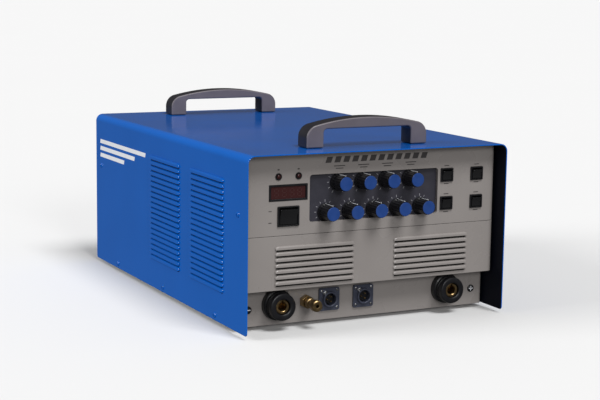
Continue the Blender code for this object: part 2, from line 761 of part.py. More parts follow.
def control_board():
    """The board behind the knobs, with one potentiometer for each."""
    bm, pots = bmesh.new(), bmesh.new()
    half_w, half_h = WINDOW_WIDTH / 2, WINDOW_HEIGHT / 2
    pot_front = behind(PLATE_BACK + GAP)
    front = pot_front + POT_DEPTH
    level = above(WINDOW_LEVEL)
    add_box(bm, (-half_w, front, level - half_h), (half_w, front + BOARD_THICKNESS, level + half_h))
    for x, height in knob_places():
        end = (x, front + BOARD_THICKNESS / 2, above(height))
        add_round(pots, (x, pot_front, above(height)), end, POT_DIAMETER / 2, segments=12)
    combine(place("control_board", bm, "circuit_board"), tool("potentiometers", pots), "UNION")


def display():
    """The digital display: a smoked window in the panel on a wider module behind it."""
    x, level = LEFT_GROUP_X, above(SEAM_HEIGHT + DISPLAY_LEVEL)
    front = behind(CONTROL_RECESS + DISPLAY_SINK)
    back = behind(CONTROL_RECESS + PANEL_SHEET) + GAP
    lens, module = bmesh.new(), bmesh.new()
    half_w, half_h = DISPLAY_WIDTH / 2, DISPLAY_HEIGHT / 2
    add_box(lens, (x - half_w, front, level - half_h), (x + half_w, back + DISPLAY_THICKNESS, level + half_h))
    half_w, half_h = half_w - MODULE_LAP, half_h + MODULE_LAP
    add_box(module, (x - half_w, back, level - half_h), (x + half_w, back + MODULE_DEPTH, level + half_h))
    combine(place("display_window", lens, "smoked_lens"), tool("display_module", module), "UNION")


def lamps():
    """Two indicator lamps with a collar on the panel's face."""
    collar, stem = LAMP_DIAMETER / 2, LAMP_STEM_DIAMETER / 2
    profile = [
        (0.0, LAMP_REACH),
        (stem * 0.7, LAMP_REACH * 0.85),
        (stem, LAMP_REACH * 0.45),
        (collar, LAMP_REACH * 0.4),
        (collar, GAP),
        (stem, GAP),
        (stem, -LAMP_STEM),
        (0.0, -LAMP_STEM),
    ]
    for name, (x, height) in zip(("lamp_left", "lamp_right"), lamp_places()):
        turned(name, profile, (x, behind(CONTROL_RECESS), above(height)), "smoked_lens", 16)


def rocker_switch(body_name, rocker_name, x, height, switch):
    """A switch housing with a bezel on the panel, and its rocker resting pressed in at the bottom."""
    bezel_w, bezel_h, rocker_w, rocker_h = switch
    body_w, body_h = switch_body_size(switch)
    level, face = above(height), behind(CONTROL_RECESS)
    front = face - BEZEL_REACH
    bm, bezel, hollow = bmesh.new(), bmesh.new(), bmesh.new()
    back = face + SWITCH_DEPTH
    add_box(bm, (x - body_w / 2, front, level - body_h / 2), (x + body_w / 2, back, level + body_h / 2))
    low, high = level - bezel_h / 2, level + bezel_h / 2
    add_box(bezel, (x - bezel_w / 2, front, low), (x + bezel_w / 2, face - GAP, high))
    inside_w, inside_h = body_w - 2 * SWITCH_WALL, body_h - 2 * SWITCH_WALL
    floor = front + ROCKER_PIVOT + ROCKER_BACK + RUNNING_GAP + SWITCH_WALL
    add_box(
        hollow,
        (x - inside_w / 2, front - BEZEL_REACH, level - inside_h / 2),
        (x + inside_w / 2, floor, level + inside_h / 2),
    )
    body = place(body_name, bm, "black_plastic")
    combine(body, tool(body_name + "_bezel", bezel), "UNION")
    combine(body, tool(body_name + "_hollow", hollow), "DIFFERENCE")

    rocker = bmesh.new()
    end, waist = rocker_h / 2, -ROCKER_WAIST
    side = [
        (-ROCKER_FRONT, end),
        (waist, 0.0),
        (-ROCKER_FRONT, -end),
        (0.0, -end),
        (ROCKER_BACK, -end + ROCKER_BACK_TAPER),
        (ROCKER_BACK, end - ROCKER_BACK_TAPER),
        (0.0, end),
    ]
    outline = [(-rocker_w / 2, y, z) for y, z in side]
    add_prism(rocker, outline, Vector((rocker_w, 0.0, 0.0)))
    obj = place(rocker_name, rocker, "black_plastic")
    obj.location = (x, front + ROCKER_PIVOT, level)
    obj.rotation_euler = (math.radians(ROCKER_TILT), 0.0, 0.0)


def switches():
    """The power switch and the four mode switches."""
    level = SEAM_HEIGHT + POWER_LEVEL
    rocker_switch("power_switch_body", "power_rocker", LEFT_GROUP_X, level, POWER_SWITCH)
    for i, (x, height) in enumerate(mode_places(), start=1):
        rocker_switch(f"mode_switch_body_{i}", f"mode_rocker_{i}", x, height, MODE_SWITCH)


def welding_sockets():
    """Two bayonet sockets: an insulating body round a bored brass contact."""
    bore = SOCKET_CONTACT_RADIUS + GAP
    body = [
        (SOCKET_RING_RADIUS, SOCKET_REACH),
        (SOCKET_RING_RADIUS, SOCKET_BASE_DEPTH),
        (SOCKET_BASE_RADIUS, SOCKET_BASE_DEPTH),
        (SOCKET_BASE_RADIUS, GAP),
        (SOCKET_TAIL_RADIUS, GAP),
        (SOCKET_TAIL_RADIUS, -SOCKET_TAIL),
        (bore, -SOCKET_TAIL),
        (bore, SOCKET_REACH),
        (SOCKET_RING_RADIUS, SOCKET_REACH),
    ]
    front = SOCKET_REACH - SOCKET_CONTACT_SINK
    contact = [
        (SOCKET_BORE_RADIUS, front),
        (SOCKET_CONTACT_RADIUS, front),
        (SOCKET_CONTACT_RADIUS, -SOCKET_TAIL - SOCKET_CONTACT_TAIL),
        (0.0, -SOCKET_TAIL - SOCKET_CONTACT_TAIL),
        (0.0, front - SOCKET_BORE_DEPTH),
        (SOCKET_BORE_RADIUS, front - SOCKET_BORE_DEPTH),
        (SOCKET_BORE_RADIUS, front),
    ]
    for pole, x in SOCKET_XS.items():
        place_at = (x, behind(CONNECTOR_RECESS), above(SOCKET_LEVEL))
        turned(pole + "_socket", body, place_at, "black_plastic", 24)
        turned(pole + "_contact", contact, place_at, "brass", 20)


def control_sockets():
    """Two round sockets on square flanges, for the torch switch and the remote control."""
    for name, x in FLANGE_XS.items():
        level, face = above(SOCKET_LEVEL), behind(CONNECTOR_RECESS)
        bm, barrel, bore = bmesh.new(), bmesh.new(), bmesh.new()
        half = FLANGE_WIDTH / 2
        add_box(bm, (x - half, face - FLANGE_THICKNESS, level - half), (x + half, face - GAP, level + half))
        front = face - BARREL_REACH
        add_round(barrel, (x, front, level), (x, face - FLANGE_THICKNESS / 2, level), BARREL_RADIUS)
        tail = bmesh.new()
        inner = face - FLANGE_THICKNESS * 0.75
        add_round(tail, (x, inner, level), (x, face + BARREL_TAIL, level), BARREL_TAIL_RADIUS)
        add_round(bore, (x, front - GAP, level), (x, front + BARREL_BORE_DEPTH, level), BARREL_BORE)
        socket = place(name + "_socket", bm, "black_plastic")
        combine(socket, tool(name + "_barrel", barrel), "UNION")
        combine(socket, tool(name + "_tail", tail), "UNION")
        combine(socket, tool(name + "_bore", bore), "DIFFERENCE")


def gas_outlet():
    """The brass outlet: a hexagon on the panel, a neck and a knurled ring with a bore."""
    face, level = behind(CONNECTOR_RECESS), above(SOCKET_LEVEL)
    tail, bore = GAS_TAIL, GAS_BORE_RADIUS
    profile = [
        (bore, GAS_REACH),
        (GAS_RING_RADIUS, GAS_REACH),
        (GAS_RING_RADIUS, GAS_REACH - GAS_RING_DEPTH),
        (GAS_NECK_RADIUS, GAS_REACH - GAS_RING_DEPTH),
        (GAS_NECK_RADIUS, -tail),
        (bore, -tail),
        (bore, GAS_REACH),
    ]
    outlet = turned("gas_outlet", profile, (GAS_OUTLET_X, face, level), "brass", 16)
    nut = bmesh.new()
    start, end = (GAS_OUTLET_X, face - GAP, level), (GAS_OUTLET_X, face - GAS_HEX_DEPTH, level)
    add_round(nut, start, end, GAS_HEX_RADIUS, segments=6)
    hollow = bmesh.new()
    back, tip = face + tail + GAP, face - GAS_REACH - GAP
    add_round(hollow, (GAS_OUTLET_X, back, level), (GAS_OUTLET_X, tip, level), bore, segments=16)
    combine(outlet, tool("gas_nut", nut), "UNION")
    combine(outlet, tool("gas_bore", hollow), "DIFFERENCE")


def fan():
    """The fan: a square frame with a stator, a bladed rotor and a wire guard outside the panel."""
    x, level = FAN_X, above(FAN_LEVEL)
    front, back = behind(FAN_FRONT), behind(FAN_FRONT + FAN_DEPTH)
    half = FAN_SIZE / 2
    bm, tunnel, stator = bmesh.new(), bmesh.new(), bmesh.new()
    add_box(bm, (x - half, front, level - half), (x + half, back, level + half))
    add_round(tunnel, (x, front - FAN_WALL, level), (x, back + FAN_WALL, level), FAN_RADIUS, segments=32)
    stator_back = front + FAN_STATOR_DEPTH
    add_round(stator, (x, front, level), (x, stator_back, level), FAN_HUB_RADIUS)
    arm = FAN_WALL
    reach = FAN_RADIUS + FAN_WALL / 2
    arms = bmesh.new()
    add_box(arms, (x - reach, front + GAP, level - arm), (x + reach, stator_back - GAP, level + arm))
    uprights = bmesh.new()
    near, far = front + 2 * GAP, stator_back - 2 * GAP
    add_box(uprights, (x - arm, near, level - reach), (x + arm, far, level + reach))
    frame = place("fan_frame", bm, "black_plastic")
    combine(frame, tool("fan_tunnel", tunnel), "DIFFERENCE")
    combine(frame, tool("fan_arms", arms), "UNION")
    combine(frame, tool("fan_uprights", uprights), "UNION")
    combine(frame, tool("fan_stator", stator), "UNION")

    hub_front, hub_back = stator_back + RUNNING_GAP, back - RUNNING_GAP - FAN_WALL
    hub_middle = (hub_front + hub_back) / 2
    hub, blades = bmesh.new(), bmesh.new()
    depth = hub_back - hub_front
    add_round(hub, (0, -depth / 2, 0), (0, depth / 2, 0), FAN_HUB_RADIUS)
    tip = FAN_RADIUS - FAN_TIP_GAP
    chord = min(FAN_BLADE_CHORD, (depth - FAN_BLADE_SHEET) / math.sin(math.radians(FAN_BLADE_PITCH)))
    for i in range(FAN_BLADES):
        blade = bmesh.ops.create_cube(blades, size=1.0)["verts"]
        root = FAN_HUB_RADIUS - FAN_WALL
        size = Matrix.Diagonal((chord, FAN_BLADE_SHEET, tip - root, 1.0))
        out = Matrix.Translation((0.0, 0.0, (tip + root) / 2))
        pitch = Matrix.Rotation(math.radians(FAN_BLADE_PITCH), 4, "Z")
        spin = Matrix.Rotation(math.tau * i / FAN_BLADES, 4, "Y")
        bmesh.ops.transform(blades, matrix=spin @ out @ pitch @ size, verts=blade)
    rotor = place("fan_rotor", hub, "black_plastic")
    vanes = tool("fan_blades", blades)
    rotor.location = (x, hub_middle, level)
    vanes.location = rotor.location
    combine(rotor, vanes, "UNION")
    fan_guard(x, level)


def fan_guard(x, level):
    """Wire rings on two crossed wires, held off the back panel on four legs."""
    face = behind(REAR_FACE)
    middle = Vector((x, face + GUARD_STAND, level))
    outer = FAN_RADIUS
    reach = Vector((outer, 0.0, 0.0))
    corners = [Matrix.Rotation(math.radians(turn), 3, "Y") @ reach for turn in GUARD_CORNERS]
    first, second, rings, legs = bmesh.new(), bmesh.new(), bmesh.new(), bmesh.new()
    add_round(first, middle + corners[0], middle + corners[2], GUARD_WIRE, segments=6)
    add_round(second, middle + corners[1], middle + corners[3], GUARD_WIRE, segments=6)
    wire = 0.9 * GUARD_WIRE
    for i in range(GUARD_RINGS):
        radius = outer * (i + 1) / GUARD_RINGS - GUARD_WIRE
        section = [(-wire, -wire), (wire, -wire), (wire, wire), (-wire, wire)]
        loop = [rings.verts.new(middle + Vector((0.0, across, radius + rise))) for across, rise in section]
        edges = [rings.edges.new((loop[k], loop[(k + 1) % 4])) for k in range(4)]
        bmesh.ops.spin(
            rings, geom=loop + edges, cent=middle, axis=(0, 1, 0),
            angle=math.tau, steps=GUARD_STEPS, use_merge=True,
        )
    leg = 2 * GUARD_WIRE
    for corner in corners:
        spot = middle + corner
        low = (spot.x - leg, face + GAP, spot.z - leg)
        add_box(legs, low, (spot.x + leg, middle.y + GUARD_WIRE, spot.z + leg))
    guard = place("fan_guard", rings, "steel")
    combine(guard, tool("guard_legs", legs), "UNION")
    combine(guard, tool("guard_bar", first), "UNION")
    combine(guard, tool("guard_cross", second), "UNION")


def rear_fittings():
    """The mains gland, the gas inlet and the earth stud, all through the back panel."""
    face = behind(REAR_FACE)
    throat = GLAND_RADIUS * 0.75
    gland = [
        (GLAND_BORE, GLAND_REACH),
        (GLAND_RADIUS * 0.7, GLAND_REACH),
        (GLAND_RADIUS, GLAND_REACH * 0.35),
        (GLAND_RADIUS, GAP),
        (throat, GAP),
        (throat, -GLAND_REACH),
        (GLAND_BORE, -GLAND_REACH),
        (GLAND_BORE, GLAND_REACH),
    ]
    turned("mains_gland", gland, (MAINS_GLAND[0], face, above(MAINS_GLAND[1])), "black_plastic", 20, "back")
    neck, bore = GAS_NECK_RADIUS, GAS_BORE_RADIUS
    inlet = [
        (bore, INLET_REACH),
        (neck - 0.0012, INLET_REACH),
        (neck, INLET_REACH * 0.75),
        (neck - 0.001, INLET_REACH * 0.7),
        (neck, INLET_REACH * 0.45),
        (GAS_HEX_RADIUS, INLET_REACH * 0.4),
        (GAS_HEX_RADIUS, GAP),
        (neck, GAP),
        (neck, -PANEL_SHEET - GAP),
        (bore, -PANEL_SHEET - GAP),
        (bore, INLET_REACH),
    ]
    turned("gas_inlet", inlet, (GAS_INLET[0], face, above(GAS_INLET[1])), "brass", 16, "back")
    stud = [
        (0.0, INLET_REACH),
        (neck * 0.7, INLET_REACH),
        (neck * 0.7, INLET_REACH * 0.6),
        (GAS_HEX_RADIUS, INLET_REACH * 0.6),
        (GAS_HEX_RADIUS, GAP),
        (neck, GAP),
        (neck, -GAS_TAIL),
        (0.0, -GAS_TAIL),
    ]
    turned("earth_stud", stud, (EARTH_STUD[0], face, above(EARTH_STUD[1])), "brass", 16, "back")


def heatsink():
    """A finned extrusion in the fan's air, its fins down on the tray, and the power board above it."""
    left, low = FAN_X - HEATSINK_WIDTH / 2, above(TRAY_TOP + GAP)
    high = low + HEATSINK_HEIGHT
    root = high - HEATSINK_BASE
    pitch = (HEATSINK_WIDTH - HEATSINK_FIN) / (HEATSINK_FINS - 1)
    outline = [(left, high)]
    for i in range(HEATSINK_FINS):
        x = left + i * pitch
        outline += [(x, root), (x, low), (x + HEATSINK_FIN, low), (x + HEATSINK_FIN, root)]
    outline = [outline[0]] + outline[2:-1] + [(left + HEATSINK_WIDTH, high)]
    y = behind(HEATSINK_START)
    bm = bmesh.new()
    add_prism(bm, [(x, y, z) for x, z in outline], Vector((0.0, HEATSINK_LENGTH, 0.0)))
    place("heatsink", bm, "aluminium")

    board, posts, stands = bmesh.new(), bmesh.new(), high + GAP
    wide, long = POWER_BOARD
    middle = y + HEATSINK_LENGTH / 2
    under = stands + POWER_BOARD_STAND
    top = under + BOARD_THICKNESS
    add_box(board, (FAN_X - wide / 2, middle - long / 2, under), (FAN_X + wide / 2, middle + long / 2, top))
    post = HEATSINK_WIDTH / 2 - 0.010
    for x in (FAN_X - post, FAN_X + post):
        for y_post in (middle - long * 0.4, middle + long * 0.4):
            add_round(posts, (x, y_post, stands), (x, y_post, under + BOARD_THICKNESS / 2), 0.004, segments=8)
    combine(place("power_board", board, "circuit_board"), tool("board_posts", posts), "UNION")
    can = [
        (0.0, CAPACITOR_HEIGHT),
        (CAPACITOR_RADIUS - 0.002, CAPACITOR_HEIGHT),
        (CAPACITOR_RADIUS, CAPACITOR_HEIGHT - 0.002),
        (CAPACITOR_RADIUS, 0.0),
        (0.0, 0.0),
    ]
    for i, shift in enumerate((-0.5, 0.5), start=1):
        spot = (FAN_X, middle + shift * CAPACITOR_PITCH, top + GAP)
        turned(f"capacitor_{i}", can, spot, "capacitor_sleeve", 16, "up")


def transformer():
    """The main transformer: a window-framed core with the winding round its middle limb."""
    wide, deep, tall = CORE_SIZE
    x, low = TRANSFORMER_X, above(TRAY_TOP + GAP)
    y = behind(TRANSFORMER_START)
    bm, windows = bmesh.new(), bmesh.new()
    add_box(bm, (x - wide / 2, y, low), (x + wide / 2, y + deep, low + tall))
    window = (wide - 4 * CORE_LIMB) / 2
    for left in (x - wide / 2 + CORE_LIMB, x + CORE_LIMB):
        floor, ceiling = low + CORE_LIMB, low + tall - CORE_LIMB
        add_box(windows, (left, y - GAP, floor), (left + window, y + deep + GAP, ceiling))
    combine(place("transformer_core", bm, "ferrite"), tool("core_windows", windows), "DIFFERENCE")
    coil, limb = bmesh.new(), bmesh.new()
    build = min(WINDING_BUILD, window - GAP)
    half = CORE_LIMB + build
    base, top = low + CORE_LIMB + GAP, low + tall - CORE_LIMB - GAP
    add_box(coil, (x - half, y - build, base), (x + half, y + deep + build, top))
    half = CORE_LIMB + GAP
    add_box(limb, (x - half, y - GAP, base - CORE_LIMB), (x + half, y + deep + GAP, top + CORE_LIMB))
    combine(place("transformer_winding", coil, "winding"), tool("winding_bore", limb), "DIFFERENCE")


def output_parts():
    """The output choke and the high-frequency unit, both standing on the tray."""
    low = above(TRAY_TOP + GAP)
    ring = [
        (CHOKE_BORE, CHOKE_HEIGHT),
        (CHOKE_RADIUS - 0.004, CHOKE_HEIGHT),
        (CHOKE_RADIUS, CHOKE_HEIGHT - 0.004),
        (CHOKE_RADIUS, 0.004),
        (CHOKE_RADIUS - 0.004, 0.0),
        (CHOKE_BORE, 0.0),
        (CHOKE_BORE, CHOKE_HEIGHT),
    ]
    turned("output_choke", ring, (CHOKE_X, behind(CHOKE_START) + CHOKE_RADIUS, low), "winding", 24, "up")
    wide, deep, tall = HF_UNIT
    y = behind(HF_START)
    bm = bmesh.new()
    add_box(bm, (CHOKE_X - wide / 2, y, low), (CHOKE_X + wide / 2, y + deep, low + tall))
    place("hf_unit", bm, "black_plastic")


def gas_valve():
    """The solenoid valve behind the gas inlet, its plunger, and the hose to the front outlet."""
    x, height = GAS_INLET
    level = above(height)
    back = behind(REAR_FACE) - PANEL_SHEET - 2 * GAP
    front = back - VALVE_DEPTH
    half = VALVE_WIDTH / 2
    bm, coil, bore = bmesh.new(), bmesh.new(), bmesh.new()
    add_box(bm, (x - half, front, level - half), (x + half, back, level + half / 2))
    middle = (front + back) / 2
    top = level + half / 2 + COIL_HEIGHT
    add_round(coil, (x, middle, level), (x, middle, top), COIL_RADIUS, segments=16)
    floor = top - PLUNGER_LENGTH - PLUNGER_FLOOR
    add_round(bore, (x, middle, floor), (x, middle, top + GAP), PLUNGER_RADIUS + RUNNING_GAP, segments=16)
    valve = place("gas_valve", bm, "brass")
    combine(valve, tool("valve_coil", coil), "UNION")
    combine(valve, tool("valve_bore", bore), "DIFFERENCE")
    seat = floor + GAP
    rod = [
        (0.0, PLUNGER_LENGTH),
        (PLUNGER_RADIUS, PLUNGER_LENGTH),
        (PLUNGER_RADIUS, 0.001),
        (PLUNGER_RADIUS - 0.001, 0.0),
        (0.0, 0.0),
    ]
    turned("valve_plunger", rod, (x, middle, seat), "steel", 16, "up")

    side = -HALF_INSIDE + HOSE_SIDE_ROOM
    end = behind(CONNECTOR_RECESS) + GAS_TAIL + HOSE_END_GAP
    out = (GAS_OUTLET_X, end, above(SOCKET_LEVEL))
    route = [
        (x, front - HOSE_END_GAP, level),
        (x, front - 0.025, level),
        (side, front - 0.060, level - 0.030),
        (side, (front + end) / 2, level - 0.060),
        (side, end + 0.060, above(0.070)),
        (GAS_OUTLET_X, end + 0.028, above(SOCKET_LEVEL)),
        out,
    ]
    smooth_tube("gas_hose", route, HOSE_RADIUS, "hose")


def smooth_tube(name, route, radius, material):
    """A tube on one smooth curve through the route's points."""
    points = [Vector(point) for point in route]
    ends = [points[0] * 2 - points[1], *points, points[-1] * 2 - points[-2]]
    path = []
    for before, start, end, after in zip(ends, ends[1:], ends[2:], ends[3:]):
        for i in range(6):
            t = i / 6
            path.append(
                0.5
                * (
                    2 * start
                    + (end - before) * t
                    + (2 * before - 5 * start + 4 * end - after) * t**2
                    + (3 * start - before - 3 * end + after) * t**3
                )
            )
    path.append(points[-1])
    curve = bpy.data.curves.new(name, "CURVE")
    curve.dimensions = "3D"
    curve.bevel_depth = radius
    curve.bevel_resolution = 2
    curve.use_fill_caps = True
    spline = curve.splines.new("POLY")
    spline.points.add(len(path) - 1)
    for point, spot in zip(spline.points, path):
        point.co = (*spot, 1.0)
    curve.materials.append(finish(material))
    PARTS.objects.link(bpy.data.objects.new(name, curve))


def build():
    """Make every part of the machine."""
    outer_cover()
    base_tray()
    control_panel()
    vent_panel()
    connector_panel()
    rear_panel()
    handle("front_handle", FRONT_HANDLE_INSET)
    handle("rear_handle", COVER_DEPTH - REAR_HANDLE_INSET)
    side = COVER_WIDTH / 2 - FOOT_SIDE_INSET
    for end, y in (("front", behind(FOOT_FRONT_INSET)), ("rear", behind(COVER_DEPTH - FOOT_REAR_INSET))):
        foot(f"foot_{end}_left", -side, y)
        foot(f"foot_{end}_right", side, y)
    knob_plate()
    knobs()
    control_board()
    display()
    lamps()
    switches()
    welding_sockets()
    control_sockets()
    gas_outlet()
    fan()
    rear_fittings()
    heatsink()
    transformer()
    output_parts()
    gas_valve()


clear_scene()
PARTS = new_collection("tig_welding_machine")
CUTTERS = new_collection("cutters")
build()
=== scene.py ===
"""Visual model of a portable TIG welding machine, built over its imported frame.

Every sub-assembly is a class that holds its own sizes and builds its own pieces. All sizes are in
metres, with X to the right seen from the front, Y to the back and Z up.
"""

from __future__ import annotations

import logging
import math
from dataclasses import dataclass, field
from enum import Enum
from typing import Callable, Iterable, Sequence

import bpy
from mathutils import Euler, Matrix, Vector

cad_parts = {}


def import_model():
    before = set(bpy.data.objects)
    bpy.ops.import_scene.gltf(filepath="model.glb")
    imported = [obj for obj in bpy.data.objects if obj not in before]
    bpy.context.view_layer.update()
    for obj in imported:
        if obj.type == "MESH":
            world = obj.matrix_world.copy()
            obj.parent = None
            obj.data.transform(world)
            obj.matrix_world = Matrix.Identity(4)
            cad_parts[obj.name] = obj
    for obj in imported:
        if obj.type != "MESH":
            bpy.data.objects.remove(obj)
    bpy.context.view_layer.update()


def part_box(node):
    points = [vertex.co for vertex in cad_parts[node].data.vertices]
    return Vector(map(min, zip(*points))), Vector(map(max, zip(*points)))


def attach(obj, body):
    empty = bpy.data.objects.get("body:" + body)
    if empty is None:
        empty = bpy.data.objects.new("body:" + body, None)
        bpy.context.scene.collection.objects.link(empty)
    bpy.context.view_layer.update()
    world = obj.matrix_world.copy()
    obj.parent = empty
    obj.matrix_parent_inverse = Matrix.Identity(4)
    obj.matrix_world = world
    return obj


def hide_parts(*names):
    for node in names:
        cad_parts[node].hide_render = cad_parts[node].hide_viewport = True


LOG = logging.getLogger("welder")
Colour = tuple[float, float, float]
Test = Callable[[Vector, Vector], bool]
Piece = bpy.types.Object

FLAT = 0.9  # least share of a direction along an axis for it to count as following the axis
ON = 1e-5  # how near to a level a point counts as on it
SHARP = 35.0  # angle in degrees from which a turned piece keeps an edge
MERGE = 1e-6  # points nearer than this are one point
NOISE_SPAN = (0.3, 0.7)  # the part of a noise that tint and roughness run over
CLOUD_DETAIL, GRAIN_DETAIL = 4.0, 2.0
RELIEF_STRENGTH = 0.6
LEAST_ROUGHNESS = 0.02


def toward(azimuth: float, elevation: float) -> Vector:
    """The direction to a place, in degrees: azimuth from the front, positive to the right.

    Args:
        azimuth: Where it is round the machine.
        elevation: How far above the horizon.

    Returns:
        A unit vector.
    """
    turn, rise = math.radians(azimuth), math.radians(elevation)
    level = math.cos(rise)
    return Vector((math.sin(turn) * level, -math.cos(turn) * level, math.sin(rise)))


def along(axis: int) -> Test:
    """A test for edges that run along X, Y or Z, which is 0, 1 or 2."""
    return lambda middle, run: abs(run[axis]) > FLAT


def looks(axis: int, sign: int) -> Test:
    """A test for faces that look along an axis, forwards or backwards."""
    return lambda middle, normal: sign * normal[axis] > FLAT


class Facing(Enum):
    """The way that a fitting's front points."""

    FRONT = "front"
    BACK = "back"
    LEFT = "left"
    RIGHT = "right"

    def turn(self) -> Matrix:
        """The rotation that takes +Z, the way out of a fitting, to this direction.

        Returns:
            The rotation.
        """
        angles = {
            Facing.FRONT: (math.pi / 2, 0.0, 0.0),
            Facing.BACK: (math.pi / 2, 0.0, math.pi),
            Facing.LEFT: (math.pi / 2, 0.0, -math.pi / 2),
            Facing.RIGHT: (math.pi / 2, 0.0, math.pi / 2),
        }
        return Euler(angles[self]).to_matrix().to_4x4()


class Part(Enum):
    """What an edit-mode selection is made of."""

    VERT = "VERT"
    EDGE = "EDGE"
    FACE = "FACE"


# ---------------------------------------------------------------- finishes


@dataclass(frozen=True)
class Finish:
    """A surface with fine grain: colour and roughness wander a little, and the grain is in relief.

    Args:
        name: The material's name.
        colour: Linear base colour.
        roughness: Middle roughness.
        metallic: 1.0 on bare metal.
        coat: Weight of a clear coat.
        coat_roughness: Roughness of that coat.
        specular: Level of the plain reflection.
        drift: How far the colour wanders, as a share of itself.
        spread: How far the roughness wanders.
        cloud: Size of the patches that the colour and roughness wander over.
        grain: Size of the relief.
        depth: Height of the relief.
        stretch: How many times longer the grain runs along one axis, X, Y and Z.
    """

    name: str
    colour: Colour
    roughness: float
    metallic: float = 0.0
    coat: float = 0.0
    coat_roughness: float = 0.1
    specular: float = 0.5
    drift: float = 0.06
    spread: float = 0.06
    cloud: float = 0.03
    grain: float = 0.0006
    depth: float = 0.00002
    stretch: Colour = (1.0, 1.0, 1.0)

    def shades(self) -> tuple[Colour, Colour]:
        """The darker and lighter colour that the surface wanders between.

        Returns:
            Both colours.
        """
        low = tuple(c * (1.0 - self.drift) for c in self.colour)
        high = tuple(min(1.0, c * (1.0 + self.drift)) for c in self.colour)
        return low, high

    def material(self) -> bpy.types.Material:
        """The finish as a node material, made at its first use.

        Returns:
            The material.
        """
        made = bpy.data.materials.get(self.name)
        if made:
            return made
        made = bpy.data.materials.new(self.name)
        made.use_nodes = True
        made.diffuse_color = (*self.colour, 1.0)
        tree = made.node_tree
        shader = tree.nodes["Principled BSDF"]
        shader.inputs["Metallic"].default_value = self.metallic
        shader.inputs["Coat Weight"].default_value = self.coat
        shader.inputs["Coat Roughness"].default_value = self.coat_roughness
        shader.inputs["Specular IOR Level"].default_value = self.specular
        place = tree.nodes.new("ShaderNodeTexCoord")
        scale = tree.nodes.new("ShaderNodeMapping")
        scale.inputs["Scale"].default_value = tuple(1.0 / s for s in self.stretch)
        tree.links.new(place.outputs["Object"], scale.inputs["Vector"])
        cloud = self._noise(tree, scale, self.cloud, CLOUD_DETAIL)
        tint = tree.nodes.new("ShaderNodeValToRGB")
        for element, at, shade in zip(tint.color_ramp.elements, NOISE_SPAN, self.shades()):
            element.position, element.color = at, (*shade, 1.0)
        tree.links.new(cloud.outputs["Fac"], tint.inputs["Fac"])
        tree.links.new(tint.outputs["Color"], shader.inputs["Base Color"])
        span = tree.nodes.new("ShaderNodeMapRange")
        span.inputs["From Min"].default_value, span.inputs["From Max"].default_value = NOISE_SPAN
        span.inputs["To Min"].default_value = max(LEAST_ROUGHNESS, self.roughness - self.spread)
        span.inputs["To Max"].default_value = min(1.0, self.roughness + self.spread)
        tree.links.new(cloud.outputs["Fac"], span.inputs["Value"])
        tree.links.new(span.outputs["Result"], shader.inputs["Roughness"])
        relief = self._noise(tree, scale, self.grain, GRAIN_DETAIL)
        bump = tree.nodes.new("ShaderNodeBump")
        bump.inputs["Strength"].default_value = RELIEF_STRENGTH
        bump.inputs["Distance"].default_value = self.depth
        tree.links.new(relief.outputs["Fac"], bump.inputs["Height"])
        tree.links.new(bump.outputs["Normal"], shader.inputs["Normal"])
        return made

    @staticmethod
    def _noise(
        tree: bpy.types.NodeTree, place: bpy.types.Node, size: float, detail: float
    ) -> bpy.types.Node:
        """A noise texture whose patches are about one size across.

        Args:
            tree: The material's nodes.
            place: The node that gives the place.
            size: Size of a patch.
            detail: Octaves.

        Returns:
            The node.
        """
        noise = tree.nodes.new("ShaderNodeTexNoise")
        noise.inputs["Scale"].default_value = 1.0 / size
        noise.inputs["Detail"].default_value = detail
        tree.links.new(place.outputs["Vector"], noise.inputs["Vector"])
        return noise


BLUE = Finish("blue_enamel", (0.0, 0.111, 0.500), 0.18, coat=0.5, coat_roughness=0.12, drift=0.03,
              spread=0.03, cloud=0.08, grain=0.0011, depth=0.000010)
# Painted shade: a near-black navy for the cover's inner faces, in place of the blue enamel, for the
# shade inside the case.
COVER_INSIDE_PAINTED_SHADE = Finish("shaded_enamel", (0.001, 0.003, 0.012), 0.60, specular=0.2, drift=0.1, cloud=0.05)
BEIGE = Finish("beige_powder_coat", (0.270, 0.248, 0.237), 0.29, drift=0.03, cloud=0.04,
               grain=0.0005, depth=0.00003)
ZINC = Finish("zinc_plate", (0.52, 0.53, 0.54), 0.38, 0.9, drift=0.12, cloud=0.012, grain=0.001)
HANDLE = Finish("handle_moulding", (0.125, 0.110, 0.124), 0.42, drift=0.08, cloud=0.02,
                grain=0.0005, depth=0.00005)
# Painted shade: near-black for the handles' faces round the arch, standing for the shade and dark
# reflections on them; the moulding's own colour is HANDLE.
HANDLE_PAINTED_SHADE = Finish("handle_band", (0.014, 0.013, 0.017), 0.40, drift=0.1, cloud=0.02, grain=0.0005,
              depth=0.00004)
SLATE = Finish("slate_plate", (0.036, 0.035, 0.048), 0.45, drift=0.08, cloud=0.01, grain=0.0003)
BLACK = Finish("black_moulding", (0.007, 0.007, 0.009), 0.36, drift=0.15, cloud=0.008, grain=0.0004)
GLOSS = Finish("polished_black", (0.010, 0.010, 0.011), 0.18, coat=0.3, drift=0.1, grain=0.002,
               depth=0.000004)
CAP = Finish("blue_cap", (0.012, 0.050, 0.215), 0.34, drift=0.06, cloud=0.006, grain=0.0004)
LENS = Finish("smoked_lens", (0.014, 0.006, 0.006), 0.12, coat=0.3, drift=0.1, grain=0.003,
              depth=0.000003)
DIGIT = Finish("unlit_segment", (0.050, 0.018, 0.017), 0.30, drift=0.1, cloud=0.003, grain=0.0004)
PRINT = Finish("pale_print", (0.40, 0.40, 0.43), 0.55, drift=0.06, cloud=0.003, grain=0.0003,
               depth=0.000004)
INK = Finish("dark_print", (0.045, 0.040, 0.040), 0.55, drift=0.1, cloud=0.003, grain=0.0003,
             depth=0.000004)
